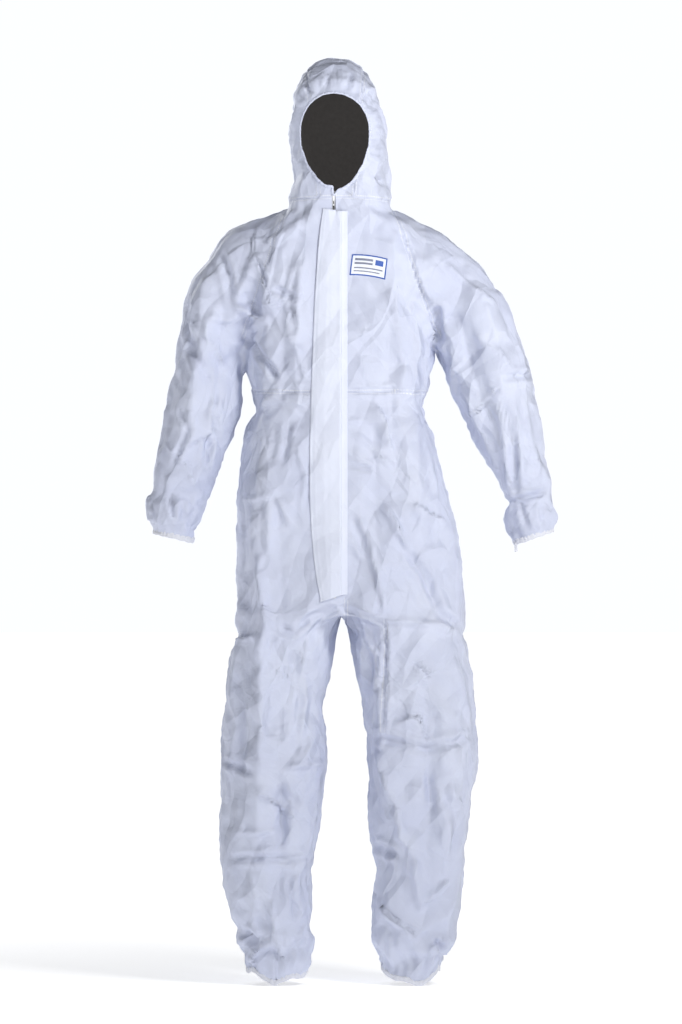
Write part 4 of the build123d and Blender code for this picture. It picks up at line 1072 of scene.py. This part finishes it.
def ink(name, colour):
    mt, nt, b = nodes_of(name); g = G(nt); v = coordinate(g, False)
    n = g.noise(v, 300.0, 3); f_ = g.noise(v, 1500.0, 2)
    g.link(g.mix(g.math("MULTIPLY", g.ramp(n, 0.5, 0.75), 0.35), (*colour, 1), (min(1, colour[0] + 0.25), min(1, colour[1] + 0.25), min(1, colour[2] + 0.25), 1)), b.inputs["Base Color"])
    g.link(g.bump(f_, 0.2, 0.0001), b.inputs["Normal"]); g.link(g.ramp(n, 0.3, 0.7, 0.42, 0.6), b.inputs["Roughness"])
    return mt


M_BLUE = ink("label_blue_ink", (0.03, 0.10, 0.42)); M_GREY = ink("label_grey_ink", (0.20, 0.22, 0.30))
LC = P(368.5, 268); ta = math.radians(-7.0)


def label_patch(name, a0, a1, b0, b1, lift, mat, thick=0.25):
    """A strip of the label: a across and b up, in millimetres from its centre, on the cloth."""
    na, nb = max(3, int((a1 - a0) / 1.6)), max(3, int((b1 - b0) / 1.6))
    A, B = np.meshgrid(np.linspace(a0, a1, na), np.linspace(b1, b0, nb))
    bend = -0.0022 * A * A
    Xp = LC[0] + A * math.cos(ta) - (B + bend) * math.sin(ta); Zp = LC[1] + A * math.sin(ta) + (B + bend) * math.cos(ta)
    Yp = np.zeros_like(Xp)
    for i in range(nb):
        for j in range(na): Yp[i, j] = front_hit(Xp[i, j], Zp[i, j]) - lift
    return grid_piece(name, Xp, Zp, Yp, thick, mat, "torso")


lab = label_patch("chest_label_ground", -34, 34, -20, 20, 0.5, M_LABEL)
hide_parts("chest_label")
for nm, box4, mt_ in (("label_frame_top", (-34, 34, 17.6, 20, ), M_BLUE), ("label_frame_bottom", (-34, 34, -20, -17.6), M_BLUE),
                      ("label_frame_right", (-34, -31.6, -17.6, 17.6), M_BLUE), ("label_frame_left", (31.6, 34, -17.6, 17.6), M_BLUE),
                      ("label_block", (12, 27, 2.5, 12.5), M_BLUE), ("label_bar_a", (-27, 7, 8.5, 12.5), M_GREY),
                      ("label_bar_b", (-27, 7, 1.5, 5.0), M_GREY), ("label_bar_c", (-27, 27, -6.5, -4.2), M_GREY), ("label_bar_d", (-27, 22, -12.5, -10.6), M_GREY)):
    label_patch(nm, *box4, 0.72, mt_, 0.2)

# ------------------------------------------------------------------ finger loops
def tape_loop(name, base, down, across, normal, length, width, body, seed):
    """A narrow elastic tape folded into a loop; base is where both ends are sewn, all in millimetres."""
    base, down, across, normal = (np.array(v, float) for v in (base, down, across, normal))
    n = 40; t = np.linspace(0, 1, n)
    ang = t * math.pi * 2
    drop = (1 - np.cos(ang)) / 2 * length
    gap_ = np.sin(ang) * 3.6 * (0.35 + 0.65 * np.sin(ang / 2) ** 2)
    lean_ = 3.0 * (drop / length) ** 2
    mid = base + drop[:, None] * down + gap_[:, None] * normal + lean_[:, None] * across
    tang = unit(np.gradient(mid, axis=0)); side = unit(across - (tang @ across)[:, None] * tang)
    nn = unit(np.cross(tang, side))
    prof = [(-0.5, -0.5), (-0.25, -0.6), (0.25, -0.6), (0.5, -0.5), (0.5, 0.5), (0.25, 0.6), (-0.25, 0.6), (-0.5, 0.5)]
    v = np.stack([mid + side * (a * width) + nn * (b_ * 0.9) for a, b_ in prof], 1).reshape(-1, 3)
    k = len(prof); f = []
    for i in range(n - 1):
        for j in range(k):
            f.append((i * k + j, i * k + (j + 1) % k, (i + 1) * k + (j + 1) % k, (i + 1) * k + j))
    f.append(tuple(range(k))); f.append(tuple((n - 1) * k + j for j in reversed(range(k))))
    o = mesh_object(name, v, f)
    bm_ = bmesh.new(); bm_.from_mesh(o.data); bmesh.ops.recalc_face_normals(bm_, faces=bm_.faces); bm_.to_mesh(o.data); bm_.free()
    o.data.polygons.foreach_set("use_smooth", np.ones(len(o.data.polygons), bool))
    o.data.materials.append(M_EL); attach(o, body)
    return o


for s_, arm, end, sx in (("right", ARM_R, END_R, -1), ("left", ARM_L, END_L, 1)):
    D3 = np.array([arm["D"][0], 0, arm["D"][1]]); lat3 = np.array([-arm["D"][1], 0, arm["D"][0]]) * sx
    if s_ == "left":
        base = np.array([end[0], 0, end[1]]) - lat3 * 33 + np.array([0, -24.0, 0]) - D3 * 5
        o = tape_loop("left_finger_loop_tape", base, unit(D3 * 0.75 + np.array([-0.35, -0.30, 0])), (0.9, 0.1, 0.3), (0, -1, 0), 24, 5, "left_forearm", 3)
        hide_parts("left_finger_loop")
    else:
        base = np.array([end[0], 0, end[1]]) - lat3 * 30 + np.array([0, 0, 0]) - D3 * 8
        o = tape_loop("right_finger_loop_tape", base, -D3, (0, 1, 0), lat3, 24, 5, "right_forearm", 5)
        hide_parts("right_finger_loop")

# ------------------------------------------------------------------ a dark sheet inside the hood: painted shade for the shadowed hood interior
hv, hf = surface_nets((-130, -160, -46), (130, 140, 290), 9.0, level=-9.0)
hv = relax(hv, hf, 4, level=-9.0)
hood_shade_layer = mesh_object("hood_painted_shade_layer", hv, hf)
bm = bmesh.new(); bm.from_mesh(hood_shade_layer.data)
bmesh.ops.delete(bm, geom=[f for f in bm.faces if f.calc_center_median().z < -0.030 or (f.calc_center_median().y < -0.02 and f.calc_center_median().z > 0.005
                 and in_egg(f.calc_center_median().x * 1000, f.calc_center_median().z * 1000) < 1.04)], context="FACES")
bmesh.ops.delete(bm, geom=[v for v in bm.verts if not v.link_faces], context="VERTS")
bmesh.ops.recalc_face_normals(bm, faces=bm.faces); bm.to_mesh(hood_shade_layer.data); bm.free()
hood_shade_layer.data.polygons.foreach_set("use_smooth", np.ones(len(hood_shade_layer.data.polygons), bool))
hood_shade_layer.data.materials.append(M_HOOD_PAINTED_SHADE)
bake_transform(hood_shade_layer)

# ------------------------------------------------------------------ finishes of the CAD pieces that stay
for node, mt_ in (("zip_tape_right", M_TAPE), ("zip_tape_left", M_TAPE), ("zip_teeth_right", M_TEETH), ("zip_teeth_left", M_TEETH), ("zip_top_stops", M_SLIDER),
                  ("zip_bottom_stop", M_SLIDER), ("zip_slider", M_SLIDER), ("zip_pull_tab", M_SLIDER), ("size_label", M_LABEL)):
    ob = bpy.data.objects.get(node)
    if ob is not None:
        ob.data.materials.clear(); ob.data.materials.append(mt_)

# ------------------------------------------------------------------ floor, light, camera
sc = bpy.context.scene
FLOOR_Z = -1.4880


def glowing_paper(name, colour, rough):
    mt, nt, b = nodes_of(name); g = G(nt); n = g.noise(g.n("ShaderNodeTexCoord").outputs["Object"], 2.0, 2)
    g.link(g.mix(n, (*colour, 1), tuple(c_ * 0.985 for c_ in colour) + (1,)), b.inputs["Base Color"]); b.inputs["Roughness"].default_value = rough
    b.inputs["Specular IOR Level"].default_value = 0.1
    # painted light: the paper glows white, weaker near the suit and stronger farther out, standing in for lamps on the
    # backdrop
    b.inputs["Emission Color"].default_value = (1, 1, 1, 1)
    ln = g.n("ShaderNodeVectorMath", operation="LENGTH"); g.link(g.n("ShaderNodeTexCoord").outputs["Object"], ln.inputs[0])
    g.link(g.ramp(g.math("MULTIPLY", ln.outputs["Value"], 0.1), 0.14, 0.30, 0.56, 0.98), b.inputs["Emission Strength"])
    return mt


v = []; f = []
grid_ = [-32000, -8000, -3000, 0, 3000, 8000, 32000]
for yy in grid_:
    v += [(xx, yy, FLOOR_Z * 1000) for xx in grid_]
for i in range(6):
    f += [(7 * i + j, 7 * i + j + 1, 7 * i + j + 8, 7 * i + j + 7) for j in range(6)]
floor = mesh_object("studio_floor", v, f)
floor.data.polygons.foreach_set("use_smooth", np.ones(len(floor.data.polygons), bool))
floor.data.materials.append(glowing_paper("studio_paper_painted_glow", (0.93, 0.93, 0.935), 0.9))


def area(name, loc, target, size, power, colour=(1, 1, 1), size_y=None):
    l = bpy.data.lights.new(name, "AREA"); l.energy = power; l.color = colour; l.size = size
    if size_y: l.shape = "RECTANGLE"; l.size_y = size_y
    o = bpy.data.objects.new(name, l); sc.collection.objects.link(o); o.location = loc
    o.rotation_euler = (Vector(target) - Vector(loc)).to_track_quat("-Z", "Y").to_euler()
    return o


area("key", (1.35, -1.75, 0.78), (0.05, 0, -0.38), 0.62, 36, (1.0, 0.995, 0.985), 0.8)
area("back", (-1.3, 2.2, 0.9), (0, 0, -0.5), 1.2, 22, (0.95, 0.97, 1.0))
w = bpy.data.worlds.new("studio"); sc.world = w; w.use_nodes = True
bg = w.node_tree.nodes["Background"]; bg.inputs[0].default_value = (0.93, 0.955, 1.0, 1)
gw = G(w.node_tree); sp = gw.n("ShaderNodeSeparateXYZ"); gw.link(gw.n("ShaderNodeTexCoord").outputs["Generated"], sp.inputs[0])
gw.link(gw.ramp(gw.math("ABSOLUTE", sp.outputs[2]), 0.15, 0.30, 1.06, 0.05), bg.inputs[1])
sc.view_settings.view_transform = "Standard"

cam = bpy.data.cameras.new("camera"); co_ = bpy.data.objects.new("camera", cam); sc.collection.objects.link(co_)
cam.sensor_fit = "VERTICAL"; cam.sensor_height = 24.0; DIST = 11.0
cam.lens = 24.0 * DIST / (1024 * PX / 1000)
co_.location = (0.002, -DIST, -0.586); co_.rotation_euler = (math.pi / 2, 0, 0)
cam.clip_end = 200; sc.camera = co_
